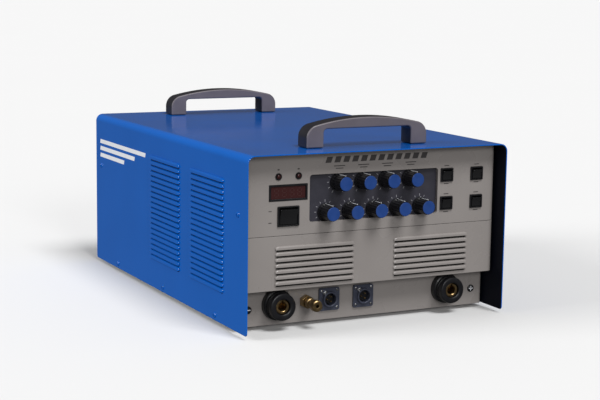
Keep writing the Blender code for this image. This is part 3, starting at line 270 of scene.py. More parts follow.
WHITE = Finish("white_print", (0.80, 0.82, 0.86), 0.45, drift=0.02, cloud=0.01, grain=0.0004,
               depth=0.000004)
RUBBER = Finish("rubber", (0.020, 0.020, 0.021), 0.80, drift=0.2, cloud=0.006, grain=0.0006,
                depth=0.00005)
BRASS = Finish("turned_brass", (0.36, 0.25, 0.12), 0.36, 1.0, drift=0.18, spread=0.1, cloud=0.003,
               grain=0.0003)
STEEL = Finish("bright_steel", (0.50, 0.50, 0.51), 0.30, 1.0, drift=0.12, spread=0.1, cloud=0.004,
               grain=0.0003)
ALLOY = Finish("extruded_alloy", (0.62, 0.63, 0.64), 0.38, 1.0, drift=0.06, cloud=0.01,
               grain=0.0004,
               stretch=(1.0, 12.0, 1.0))
BOARD = Finish("solder_mask", (0.02, 0.16, 0.06), 0.40, coat=0.3, drift=0.2, cloud=0.004,
               grain=0.0008)
FERRITE = Finish("ferrite", (0.08, 0.08, 0.085), 0.60, drift=0.15, cloud=0.006, grain=0.0006)
WINDING = Finish("copper_winding", (0.42, 0.20, 0.06), 0.36, 0.5, drift=0.2, cloud=0.003,
                 grain=0.0012,
                 depth=0.0003, stretch=(8.0, 8.0, 1.0))
SLEEVE = Finish("capacitor_sleeve", (0.02, 0.04, 0.12), 0.35, drift=0.1, cloud=0.008, grain=0.0008)
SOCKET = Finish("socket_shell", (0.070, 0.078, 0.115), 0.34, 0.35, drift=0.1, cloud=0.004,
                grain=0.0004)


# ---------------------------------------------------------------- modelling steps


class Bench:
    """Modelling steps that every sub-assembly uses."""

    @staticmethod
    def centre(node: str) -> Vector:
        """The middle of a CAD node's box."""
        low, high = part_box(node)
        return (low + high) / 2

    @staticmethod
    def seat(node: str, panel: str = "connector_panel") -> Vector:
        """Where a fitting's axis meets the face of its panel."""
        middle = Bench.centre(node)
        return Vector((middle.x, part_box(panel)[0].y, middle.z))

    @staticmethod
    def clear() -> None:
        """Leave edit mode and deselect everything."""
        if bpy.context.object and bpy.context.object.mode != "OBJECT":
            bpy.ops.object.mode_set(mode="OBJECT")
        bpy.ops.object.select_all(action="DESELECT")

    @staticmethod
    def pick(*objs: Piece) -> None:
        """Make these objects the selection, the first of them active.

        Args:
            objs: The pieces.
        """
        Bench.clear()
        for obj in objs:
            obj.select_set(True)
        bpy.context.view_layer.objects.active = objs[0]

    @staticmethod
    def named(name: str) -> Piece:
        """Name the object that an operator has just made and apply its place.

        Args:
            name: The piece's name.

        Returns:
            The object, at the origin.
        """
        obj = bpy.context.object
        obj.name = obj.data.name = name
        bpy.ops.object.transform_apply(location=True, rotation=True, scale=True)
        return obj

    @staticmethod
    def block(name: str, low: Sequence[float], high: Sequence[float]) -> Piece:
        """A cube stretched between two corners.

        Args:
            name: The piece's name.
            low: Its lower corner.
            high: Its upper corner.

        Returns:
            The piece.
        """
        low, high = Vector(low), Vector(high)
        Bench.clear()
        bpy.ops.mesh.primitive_cube_add(size=1.0, location=(low + high) / 2)
        bpy.context.object.scale = high - low
        return Bench.named(name)

    @staticmethod
    def rod(name: str, radius: float, low: float, high: float, sides: int = 32) -> Piece:
        """A cylinder on +Z between two levels.

        Args:
            name: The piece's name.
            radius: Its radius.
            low: Its lower end.
            high: Its upper end.
            sides: Sides of its outline.

        Returns:
            The piece.
        """
        Bench.clear()
        bpy.ops.mesh.primitive_cylinder_add(
            vertices=sides, radius=radius, depth=high - low, location=(0.0, 0.0, (low + high) / 2)
        )
        return Bench.named(name)

    @staticmethod
    def choose(obj: Piece, part: Part, test: Test) -> None:
        """Enter edit mode with what passes a test selected.

        Args:
            obj: The piece.
            part: What the selection is made of.
            test: Takes a middle point and a direction: the normal of a vertex or face, or the run
                of an edge.
        """
        Bench.pick(obj)
        bpy.ops.object.mode_set(mode="EDIT")
        bpy.ops.mesh.select_mode(type=part.value)
        bpy.ops.mesh.select_all(action="DESELECT")
        bpy.ops.object.mode_set(mode="OBJECT")
        mesh = obj.data
        if part is Part.VERT:
            for vert in mesh.vertices:
                vert.select = test(vert.co, vert.normal)
        elif part is Part.FACE:
            for face in mesh.polygons:
                face.select = test(face.center, face.normal)
        else:
            for edge in mesh.edges:
                a, b = (mesh.vertices[i].co for i in edge.vertices)
                edge.select = test((a + b) / 2, (b - a).normalized())
        bpy.ops.object.mode_set(mode="EDIT")

    @staticmethod
    def choose_all(obj: Piece) -> None:
        """Enter edit mode with everything selected."""
        Bench.choose(obj, Part.FACE, lambda middle, normal: True)
        bpy.ops.mesh.select_all(action="SELECT")

    @staticmethod
    def round_edges(obj: Piece, test: Test, width: float, segments: int = 3) -> None:
        """Round the edges that pass a test.

        Args:
            obj: The piece.
            test: Passes the edges.
            width: Width of the rounding.
            segments: Steps in it.
        """
        Bench.choose(obj, Part.EDGE, test)
        bpy.ops.mesh.bevel(offset=width, segments=segments, affect="EDGES", clamp_overlap=True)
        bpy.ops.object.mode_set(mode="OBJECT")

    @staticmethod
    def sheet(
        name: str, low: Sequence[float], high: Sequence[float], axis: int, corner: float,
        segments: int = 4,
    ) -> Piece:
        """A block whose four edges along one axis are rounded.

        Args:
            name: The piece's name.
            low: Its lower corner.
            high: Its upper corner.
            axis: The axis of the rounded edges, 0, 1 or 2.
            corner: Their radius.
            segments: Steps in each rounding.

        Returns:
            The sheet.
        """
        made = Bench.block(name, low, high)
        Bench.round_edges(made, along(axis), corner, segments)
        return made

    @staticmethod
    def remove_faces(obj: Piece, test: Test) -> None:
        """Open a shape where its faces pass a test.

        Args:
            obj: The piece.
            test: Passes the faces.
        """
        Bench.choose(obj, Part.FACE, test)
        bpy.ops.mesh.delete(type="FACE")
        bpy.ops.object.mode_set(mode="OBJECT")

    @staticmethod
    def slice(obj: Piece, point: Sequence[float], across: Sequence[float]) -> None:
        """Cut every face of a piece along a plane, and keep both sides.

        Args:
            obj: The piece.
            point: A point on the plane.
            across: Its normal.
        """
        Bench.choose_all(obj)
        bpy.ops.mesh.bisect(plane_co=point, plane_no=across)
        bpy.ops.object.mode_set(mode="OBJECT")

    @staticmethod
    def dish(obj: Piece, test: Test, rim: float, move: Sequence[float]) -> None:
        """Inset the faces that pass a test and push them in or out, which leaves a rim.

        Args:
            obj: The piece.
            test: Passes the faces.
            rim: Width of the rim.
            move: How far the rest moves.
        """
        Bench.choose(obj, Part.FACE, test)
        bpy.ops.mesh.inset(thickness=rim, depth=0.0, use_boundary=True)
        bpy.ops.mesh.extrude_region_move(TRANSFORM_OT_translate={"value": tuple(move)})
        bpy.ops.object.mode_set(mode="OBJECT")

    @staticmethod
    def apply(obj: Piece, kind: str, **settings: object) -> None:
        """Add one modifier with these settings and apply it.

        Args:
            obj: The piece.
            kind: The modifier's type.
            settings: Its values.
        """
        Bench.pick(obj)
        step = obj.modifiers.new(kind.title(), kind)
        for key, value in settings.items():
            setattr(step, key, value)
        bpy.ops.object.modifier_apply(modifier=step.name)

    @staticmethod
    def soften(obj: Piece, width: float, segments: int = 2, over: float = 40.0) -> None:
        """Round the edges over an angle in degrees, and shade it smooth with its flats flat.

        Args:
            obj: The piece.
            width: Width of the rounding, or 0 for none.
            segments: Steps in it.
            over: The angle.
        """
        if width > 0.0:
            Bench.apply(
                obj, "BEVEL", width=width, segments=segments, limit_method="ANGLE",
                angle_limit=math.radians(over), harden_normals=False, use_clamp_overlap=True,
            )
        Bench.pick(obj)
        bpy.ops.object.shade_smooth_by_angle(angle=math.radians(over))
        Bench.apply(obj, "WEIGHTED_NORMAL", keep_sharp=True, weight=80)

    @staticmethod
    def cut(obj: Piece, tool: Piece, operation: str = "DIFFERENCE") -> None:
        """Combine a piece with a tool, which is used up."""
        Bench.apply(obj, "BOOLEAN", operation=operation, object=tool, solver="EXACT")
        bpy.data.objects.remove(tool, do_unlink=True)

    @staticmethod
    def paint(obj: Piece, finish: Finish, test: Test) -> None:
        """Give the faces that pass a test a second finish.

        Args:
            obj: The piece.
            finish: The second finish.
            test: Passes the faces.
        """
        obj.data.materials.append(finish.material())
        last = len(obj.data.materials) - 1
        for face in obj.data.polygons:
            if test(face.center, face.normal):
                face.material_index = last

    @staticmethod
    def join(name: str, pieces: Iterable[Piece]) -> Piece:
        """Make several pieces one object.

        Args:
            name: Name of the joined piece.
            pieces: The pieces.

        Returns:
            The joined piece.
        """
        pieces = list(pieces)
        Bench.pick(*pieces)
        if len(pieces) > 1:
            bpy.ops.object.join()
        obj = bpy.context.object
        obj.name = obj.data.name = name
        return obj

    @staticmethod
    def copy(obj: Piece, name: str, matrix: Matrix) -> Piece:
        """A copy with its own mesh, moved in its mesh.

        Args:
            obj: The pattern.
            name: The copy's name.
            matrix: The move.

        Returns:
            The copy.
        """
        made = obj.copy()
        made.data = obj.data.copy()
        made.name = made.data.name = name
        bpy.context.scene.collection.objects.link(made)
        made.data.transform(matrix)
        return made

    @staticmethod
    def repeat(obj: Piece, matrices: Iterable[Matrix]) -> list[Piece]:
        """Copies of a pattern piece, which is then thrown away.

        Args:
            obj: The pattern.
            matrices: One move for each copy.

        Returns:
            The copies.
        """
        made = [Bench.copy(obj, f"{obj.name}_{i}", m) for i, m in enumerate(matrices, start=1)]
        bpy.data.objects.remove(obj, do_unlink=True)
        return made

    @staticmethod
    def turned(name: str, profile: Sequence[tuple[float, float]], steps: int = 48) -> Piece:
        """A turned piece on +Z.

        Args:
            name: The piece's name.
            profile: (radius, level) points. The first and last are on the axis, or are one point.
            steps: Sides of the turned shape.

        Returns:
            The closed piece.
        """
        ring = profile[0] == profile[-1]
        points = list(profile[:-1] if ring else profile)
        last = len(points) - 1
        edges = [(i, i + 1) for i in range(last)] + ([(last, 0)] if ring else [])
        mesh = bpy.data.meshes.new(name)
        mesh.from_pydata([(radius, 0.0, level) for radius, level in points], edges, [])
        obj = bpy.data.objects.new(name, mesh)
        bpy.context.scene.collection.objects.link(obj)
        Bench.apply(
            obj, "SCREW", steps=steps, render_steps=steps, use_merge_vertices=True,
            merge_threshold=MERGE,
        )
        Bench.outward(obj)
        return obj

    @staticmethod
    def outward(obj: Piece) -> None:
        """Merge doubles and point every face outwards.

        Args:
            obj: The piece.
        """
        Bench.choose_all(obj)
        bpy.ops.mesh.remove_doubles(threshold=MERGE)
        bpy.ops.mesh.normals_make_consistent(inside=False)
        bpy.ops.object.mode_set(mode="OBJECT")

    @staticmethod
    def put(obj: Piece, place: Sequence[float], facing: Facing = Facing.FRONT) -> Piece:
        """Turn a piece to its facing and move it to its place, in its mesh."""
        obj.data.transform(Matrix.Translation(Vector(place)) @ facing.turn())
        return obj

    @staticmethod
    def merged(node: str, name: str) -> Piece:
        """A merged copy of a CAD node, with its flat faces whole.

        Args:
            node: The CAD node.
            name: The copy's name.

        Returns:
            The copy.
        """
        source = bpy.data.objects[node]
        made = bpy.data.objects.new(name, source.data.copy())
        made.data.name = name
        made.data.materials.clear()
        bpy.context.scene.collection.objects.link(made)
        Bench.outward(made)
        Bench.choose_all(made)
        bpy.ops.mesh.dissolve_limited(angle_limit=math.radians(0.5))
        bpy.ops.object.mode_set(mode="OBJECT")
        return made


class Machine:
    """Dresses finished pieces, rides them on their bodies and hides the CAD nodes that they
    replace.
    """

    @staticmethod
    def add(
        obj: Piece,
        finish: Finish,
        slot: str,
        body: str = "case",
        stands_for: Sequence[str] = (),
    ) -> Piece:
        """Dress a piece, ride it on a body and let it stand for CAD nodes.

        Args:
            obj: The finished piece, at the origin.
            finish: Its surface.
            slot: The name of a material slot; not used.
            body: The body that it moves with.
            stands_for: CAD nodes that it replaces.

        Returns:
            The piece.
        """
        obj.data.materials.clear()
        obj.data.materials.append(finish.material())
        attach(obj, body)
        if stands_for:
            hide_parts(*stands_for)
        LOG.info("%s on %s, %d faces", obj.name, body, len(obj.data.polygons))
        return obj

    @staticmethod
    def refine(
        node: str, finish: Finish, slot: str, width: float, body: str = "case", segments: int = 2
    ) -> Piece:
        """A CAD node's shape with its edges rounded, in place of the node.

        Args:
            node: The CAD node.
            finish: Its surface.
            slot: The name of a material slot, handed on.
            width: Width of the rounding.
            body: The body that it moves with.
            segments: Steps in the rounding.

        Returns:
            The piece.
        """
        obj = Bench.merged(node, node + "_finished")
        Bench.soften(obj, width, segments)
        return Machine.add(obj, finish, slot, body, [node])


# ---------------------------------------------------------------- small repeated pieces


@dataclass
class PanScrew:
    """A pan-head screw with a cross recess."""

    radius: float = 0.0034
    height: float = 0.0018
    recess: float = 0.0009

    def pattern(self, name: str) -> Piece:
        """One screw on +Z, its seat at the origin.

        Args:
            name: Its name.

        Returns:
            The screw.
        """
        r, h = self.radius, self.height
        profile = [(0.0, h), (r * 0.45, h * 0.97), (r * 0.75, h * 0.8), (r * 0.93, h * 0.5),
                   (r, h * 0.1), (r, -h * 0.2), (0.0, -h * 0.2)]
        head = Bench.turned(name, profile, 20)
        for turn in (0.0, math.pi / 2):
            arm = Bench.block("arm", (-r * 0.6, -r * 0.13, h - self.recess),
                              (r * 0.6, r * 0.13, h * 1.5))
            arm.data.transform(Matrix.Rotation(turn, 4, "Z"))
            Bench.cut(head, arm)
        Bench.soften(head, 0.0)
        return head

    def add_all(
        self, name: str, places: Sequence[tuple[Sequence[float], Facing]], finish: Finish, slot: str
    ) -> Piece:
        """All screws of one group as one piece.

        Args:
            name: The group's name.
            places: Where each screw sits, and which way it faces.
            finish: Their surface.
            slot: The name of a material slot, handed on.

        Returns:
            The joined screws.
        """
        moves = [Matrix.Translation(Vector(at)) @ way.turn() for at, way in places]
        heads = Bench.repeat(self.pattern(name + "_one"), moves)
        return Machine.add(Bench.join(name, heads), finish, slot)


@dataclass
class Louvre:
    """A pressed louvre: a hood with rounded ends, open below over a slot in the sheet."""

    length: float
    rise: float = 0.0043
    reach: float = 0.0026
    lip: float = 0.0005
    crown: float = 0.0022
    sink: float = 0.0004
    slot_below: float = 0.0017
    taper: float = 0.0039
    end_share: float = 0.15
    end_lean: float = 0.45
    hollow: float = 0.45
    droop: float = 0.4

    def hood(self) -> Piece:
        """One hood that runs along +X from the origin, stands out to -Y and rises to +Z.

        Returns:
            The hood.
        """
        hood = Bench.block("hood", (0.0, -self.reach, 0.0), (self.length, self.sink, self.rise))
        for at in (self.taper, self.length - self.taper):
            Bench.slice(hood, (at, 0.0, 0.0), (1.0, 0.0, 0.0))
        crest, front = self.rise * 0.99, -self.reach * 0.99
        Bench.round_edges(
            hood, lambda m, run: abs(run.x) > FLAT and m.z > crest and m.y < front, self.crown, 6
        )
        Bench.dish(hood, looks(2, -1), self.lip, (0.0, 0.0, self.rise * self.hollow))
        for vert in hood.data.vertices:
            inward = min(vert.co.x, self.length - vert.co.x) / self.taper
            least = self.end_share + self.end_lean * max(0.0, 1.0 - vert.co.z / self.rise)
            share = least + (1.0 - least) * min(1.0, inward)
            if vert.co.y < 0.0:
                vert.co.y *= share
            vert.co.z *= 1.0 - self.droop * (1.0 - share)
        Bench.soften(hood, 0.0)
        return hood

    def slot_tool(self, sheet: float) -> Piece:
        """The cut through a sheet of some thickness, behind and just below a hood.

        Args:
            sheet: The thickness.

        Returns:
            The tool.
        """
        start = self.taper * 0.5
        high = (self.length - start, 2.0 * sheet, self.rise * self.hollow)
        return Bench.block("slot", (start, -sheet, -self.slot_below), high)


# ---------------------------------------------------------------- cover


@dataclass
class Cover:
    """The folded blue cover with its louvres, side screws and the plain bars on its left side."""

    fold: float = 0.0085
    sheet: float = 0.0012
    corner: float = 0.0035
    edge: float = 0.00025
    pitch: float = 0.0061
    rows: int = 20
    louvre: Louvre = field(default_factory=lambda: Louvre(0.090))
    bottom_row: float = 0.0343
    starts: tuple[float, float] = (0.058, 0.178)
    bar_lengths: tuple[float, ...] = (0.158, 0.122, 0.086)
    bar_height: float = 0.0050
    bar_pitch: float = 0.0086
    bar_drop: float = 0.0300
    bar_inset: float = 0.0170
    bar_lean: float = 0.35
    screen_gap: float = 0.0003
    shade_sheet_thickness: float = 0.0008
    shade_sheet_margin: float = 0.006
    screws: tuple[tuple[float, float], ...] = (
        (0.0803, 0.0058), (0.2288, 0.0058), (0.3787, 0.0058), (0.0228, 0.1218), (0.4389, 0.1208)
    )

    def __post_init__(self) -> None:
        """Read the sheet's own box from the frame."""
        self.low, self.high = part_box("outer_cover")
        self.half = self.high.x - self.louvre.reach

    def shell(self) -> Piece:
        """The folded sheet, whose slots are cut later.

        Returns:
            The sheet.
        """
        low, high = (-self.half, self.low.y, self.low.z), (self.half, self.high.y, self.high.z)
        shell = Bench.block("cover_shell", low, high)
        Bench.round_edges(
            shell, lambda m, run: abs(run.y) > FLAT and m.z > self.high.z - ON, self.fold, 12
        )
        Bench.remove_faces(shell, lambda m, normal: normal.z < -FLAT or abs(normal.y) > FLAT)
        Bench.choose(shell, Part.VERT, lambda m, normal: m.z < self.low.z + ON)
        bpy.ops.mesh.bevel(offset=self.corner, segments=5, affect="VERTICES")
        bpy.ops.object.mode_set(mode="OBJECT")
        Bench.apply(shell, "SOLIDIFY", thickness=self.sheet, offset=-1.0, use_even_offset=True)
        Bench.soften(shell, self.edge, 2, 60.0)
        return shell

    def louvre_moves(self) -> list[Matrix]:
        """Where each louvre goes, on both sides.

        Returns:
            One move for each louvre.
        """
        moves = []
        for side, way in ((-1, Facing.LEFT), (1, Facing.RIGHT)):
            turn = Matrix.Rotation(side * math.pi / 2, 4, "Z")
            for start in self.starts:
                y = self.low.y + start + (self.louvre.length if way is Facing.LEFT else 0.0)
                for i in range(self.rows):
                    z = self.low.z + self.bottom_row + i * self.pitch
                    moves.append(Matrix.Translation((side * self.half, y, z)) @ turn)
        return moves

    def bars(self) -> Piece:
        """Three plain slanted bars on the left side, in place of a name.

        Returns:
            The joined bars.
        """
        bars = []
        for i, length in enumerate(self.bar_lengths):
            top = self.high.z - self.bar_drop - i * self.bar_pitch
            start = self.high.y - self.bar_inset - length
            bar = Bench.block(f"bar_{i}", (-self.half - 0.00012, start, top - self.bar_height),
                              (-self.half + 0.0001, start + length, top))
            for vert in bar.data.vertices:
                vert.co.y -= (vert.co.z - top) * self.bar_lean
            bars.append(bar)
        return Bench.join("side_bars", bars)

    def screen(self, side: int) -> None:
        """A thin dark rubber sheet inside the case, close behind the louvres of one side: it stops
        light showing through the slots, and its dark colour is painted shade for the inside of the
        case.

        Args:
            side: -1 on the left, 1 on the right.
        """
        wall, margin = self.half - self.sheet - self.screen_gap, self.shade_sheet_margin
        inner, outer = sorted((side * wall, side * (wall - self.shade_sheet_thickness)))
        start = self.low.y + (self.starts[0] - margin)
        end = self.low.y + (self.starts[1] + self.louvre.length + margin)
        bottom = self.low.z + self.bottom_row - margin
        top = bottom + self.rows * self.pitch + 2.0 * margin
        name = "side_screen_left" if side < 0 else "side_screen_right"
        # Painted shade: the dark sheet right behind the slots stands in for the shade inside the
        # case.
        screen = Bench.sheet(name, (inner, start, bottom), (outer, end, top), 0, margin)
        Bench.soften(screen, 0.0002)
        Machine.add(screen, RUBBER, "rubber")

    def is_inner(self, middle: Vector, normal: Vector) -> bool:
        """Whether a face of the cover looks into the case, and so gets painted shade.

        Args:
            middle: Middle of the face.
            normal: Its normal.

        Returns:
            True if it does.
        """
        level = (self.low.z + self.high.z) / 2
        inward = middle.x * normal.x + (middle.z - level) * normal.z < 0.0
        return inward and abs(normal.y) < 0.5 and abs(middle.x) < self.half - self.sheet * 0.5

    def build(self) -> None:
        """Make the cover's pieces."""
        moves = self.louvre_moves()
        shell = self.shell()
        slots = Bench.join("side_slots", Bench.repeat(self.louvre.slot_tool(self.sheet), moves))
        Bench.cut(shell, slots)
        hoods = Bench.repeat(self.louvre.hood(), moves)
        cover = Bench.join("cover", [shell, *hoods])
        Bench.soften(cover, 0.0)
        Machine.add(cover, BLUE, "cover_enamel", stands_for=["outer_cover"])
        # The faces that look into the case get painted shade, a near-black navy.
        Bench.paint(cover, COVER_INSIDE_PAINTED_SHADE, self.is_inner)
        Machine.add(self.bars(), WHITE, "cover_enamel")
        for side in (-1, 1):
            self.screen(side)
        places = []
        for side, way in ((-1, Facing.LEFT), (1, Facing.RIGHT)):
            for depth, height in self.screws:
                places.append(((side * self.half, self.low.y + depth, self.low.z + height), way))
        PanScrew(0.0031, 0.0015).add_all("cover_screws", places, BLUE, "cover_enamel")


# ---------------------------------------------------------------- front panels


@dataclass
class FrontPanels:
    """The three panels of the front: controls, louvres and sockets."""

    fold: float = 0.008
    sheet: float = 0.0015
    returned: float = 0.020
    pitch: float = 0.0061
    rows: int = 7
    louvre: Louvre = field(
        default_factory=lambda: Louvre(0.092, rise=0.0038, slot_below=0.0022, taper=0.0030)
    )
    bottom_row: float = 0.0059
    offset: float = 0.070
    corner: float = 0.003
    disc_drop: float = 0.004
    discs: tuple[tuple[float, tuple[float, ...]], ...] = (
        (-0.137, (0.0,)), (0.1364, (0.0, math.pi / 2))
    )

    def vent(self) -> None:
        """The middle panel, with its shelf and two groups of louvres."""
        low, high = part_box("vent_panel")
        face = low.y + self.louvre.reach
        back = face + self.returned
        panel = Bench.block("vent_sheet", (low.x, face, low.z), (high.x, back, high.z))
        Bench.round_edges(
            panel, lambda m, run: abs(run.z) > FLAT and m.y < face + ON, self.fold, 10
        )
        Bench.remove_faces(panel, lambda m, normal: normal.z > FLAT or normal.y > FLAT)
        Bench.apply(panel, "SOLIDIFY", thickness=self.sheet, offset=-1.0, use_even_offset=True)
        Bench.soften(panel, 0.0003, 2, 50.0)
        half, first = self.louvre.length / 2, low.z + self.bottom_row
        moves = [
            Matrix.Translation((middle - half, face, first + i * self.pitch))
            for middle in (-self.offset, self.offset)
            for i in range(self.rows)
        ]
        slots = Bench.join("front_slots", Bench.repeat(self.louvre.slot_tool(self.sheet), moves))
        Bench.cut(panel, slots)
        hoods = Bench.repeat(self.louvre.hood(), moves)
        vent = Bench.join("louvred_panel", [panel, *hoods])
        Bench.soften(vent, 0.0)
        Machine.add(vent, BEIGE, "panel_enamel", stands_for=["vent_panel"])

    def backing(self) -> None:
        """The lip behind the upper seam, and a dark rubber sheet behind the louvres: it stops light
        showing through the slots, and its dark colour is painted shade for the inside of the case.
        """
        low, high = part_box("vent_panel")
        inner = low.y + self.louvre.reach + self.sheet
        lip = Bench.sheet("seam_lip", (low.x + 0.004, inner + 0.0002, high.z - 0.0055),
                          (high.x - 0.004, inner + 0.0012, high.z + 0.0060), 1, self.corner)
        Bench.soften(lip, 0.0002)
        Machine.add(lip, BEIGE, "panel_enamel")
        # Painted shade: the dark sheet behind the front slots stands in for the shade inside the
        # case.
        tray = Bench.sheet("dust_filter", (low.x + 0.005, inner + 0.0020, low.z + 0.0030),
                           (high.x - 0.005, inner + 0.0044, high.z - 0.0065), 1, self.corner)
        Bench.dish(tray, looks(1, -1), self.corner, (0.0, 0.0012, 0.0))
        Bench.soften(tray, 0.0003)
        Machine.add(tray, RUBBER, "rubber")

    def polarity(self) -> None:
        """The discs beside the welding sockets, marked with a bar and a cross."""
        seat = Bench.seat("negative_socket")
        profile = [(0.0, 0.0010), (0.0036, 0.0010), (0.0041, 0.0006), (0.0041, -0.0002),
                   (0.0, -0.0002)]
        discs, marks = [], []
        for x, turns in self.discs:
            place = (x, seat.y, seat.z - self.disc_drop)
            discs.append(Bench.put(Bench.turned("disc", profile, 32), place))
            for turn in turns:
                bar = Bench.block("bar", (-0.0026, -0.0005, 0.0009), (0.0026, 0.0005, 0.0012))
                bar.data.transform(Matrix.Rotation(turn, 4, "Z"))
                marks.append(Bench.put(bar, place))
        Machine.add(Bench.join("polarity_discs", discs), BLACK, "black_plastic")
        Machine.add(Bench.join("polarity_marks", marks), WHITE, "black_plastic")

    def build(self) -> None:
        """Make the three panels."""
        Machine.refine("control_panel", BEIGE, "panel_enamel", 0.0003)
        Machine.refine("connector_panel", BEIGE, "panel_enamel", 0.0002)
        self.vent()
        self.backing()
        self.polarity()


# ---------------------------------------------------------------- controls


@dataclass
class Knob:
    """A fluted knob with a coloured cap and a pointer line."""

    flutes: int = 18
    flute_depth: float = 0.00045
    skirt: float = 0.0030
    cap_radius: float = 0.0073
    cap_reach: float = 0.0009
    grip_share: float = 0.905

    def pattern(self, radius: float, reach: float, shaft: float) -> Piece:
        """The black body on +Z, its seat at the origin.

        Args:
            radius: Radius of the skirt.
            reach: Length of the knob.
            shaft: How far its shaft runs back.

        Returns:
            The body.
        """
        grip = radius * self.grip_share
        profile = [(0.0, reach), (grip * 0.90, reach), (grip * 0.96, reach - 0.0006),
                   (grip, reach - 0.0014), (grip, self.skirt + 0.0008),
                   (radius - 0.0004, self.skirt), (radius, self.skirt - 0.0005), (radius, 0.0),
                   (0.003, 0.0), (0.003, -shaft), (0.0, -shaft)]
        body = Bench.turned("knob", profile, self.flutes * 6)
        for vert in body.data.vertices:
            across = math.hypot(vert.co.x, vert.co.y)
            if vert.co.z > self.skirt + 0.0006 and across > grip * 0.94:
                wave = 0.5 - 0.5 * math.cos(self.flutes * math.atan2(vert.co.y, vert.co.x))
                share = (across - self.flute_depth * wave) / across
                vert.co.x *= share
                vert.co.y *= share
        Bench.soften(body, 0.0, over=SHARP)
        return body

    def cap(self, reach: float) -> Piece:
        """The flat coloured cap in the knob's front.

        Args:
            reach: Length of the knob.

        Returns:
            The cap.
        """
        r, out = self.cap_radius, self.cap_reach
        profile = [(0.0, reach + out * 0.8), (r * 0.80, reach + out * 0.85),
                   (r * 0.93, reach + out), (r * 0.985, reach + out * 0.8),
                   (r, reach + out * 0.4), (r, reach - 0.0008), (0.0, reach - 0.0008)]
        cap = Bench.turned("cap", profile, 48)
        Bench.soften(cap, 0.0, over=SHARP)
        return cap

    def pointer(self, radius: float, reach: float) -> Piece:
        """A line down the top of the grip and skirt, on +Y until the knob is turned to the front.

        Args:
            radius: Radius of the skirt.
            reach: Length of the knob.

        Returns:
            The line.
        """
        grip = radius * self.grip_share
        line = Bench.block("pointer", (-0.0004, grip - 0.0002, self.skirt + 0.0010),
                           (0.0004, grip + 0.00025, reach - 0.0010))
        foot = Bench.block("pointer_foot", (-0.0004, grip, 0.0008),
                           (0.0004, radius + 0.00018, self.skirt - 0.0006))
        line = Bench.join("pointer", [line, foot])
        Bench.soften(line, 0.0001)
        return line


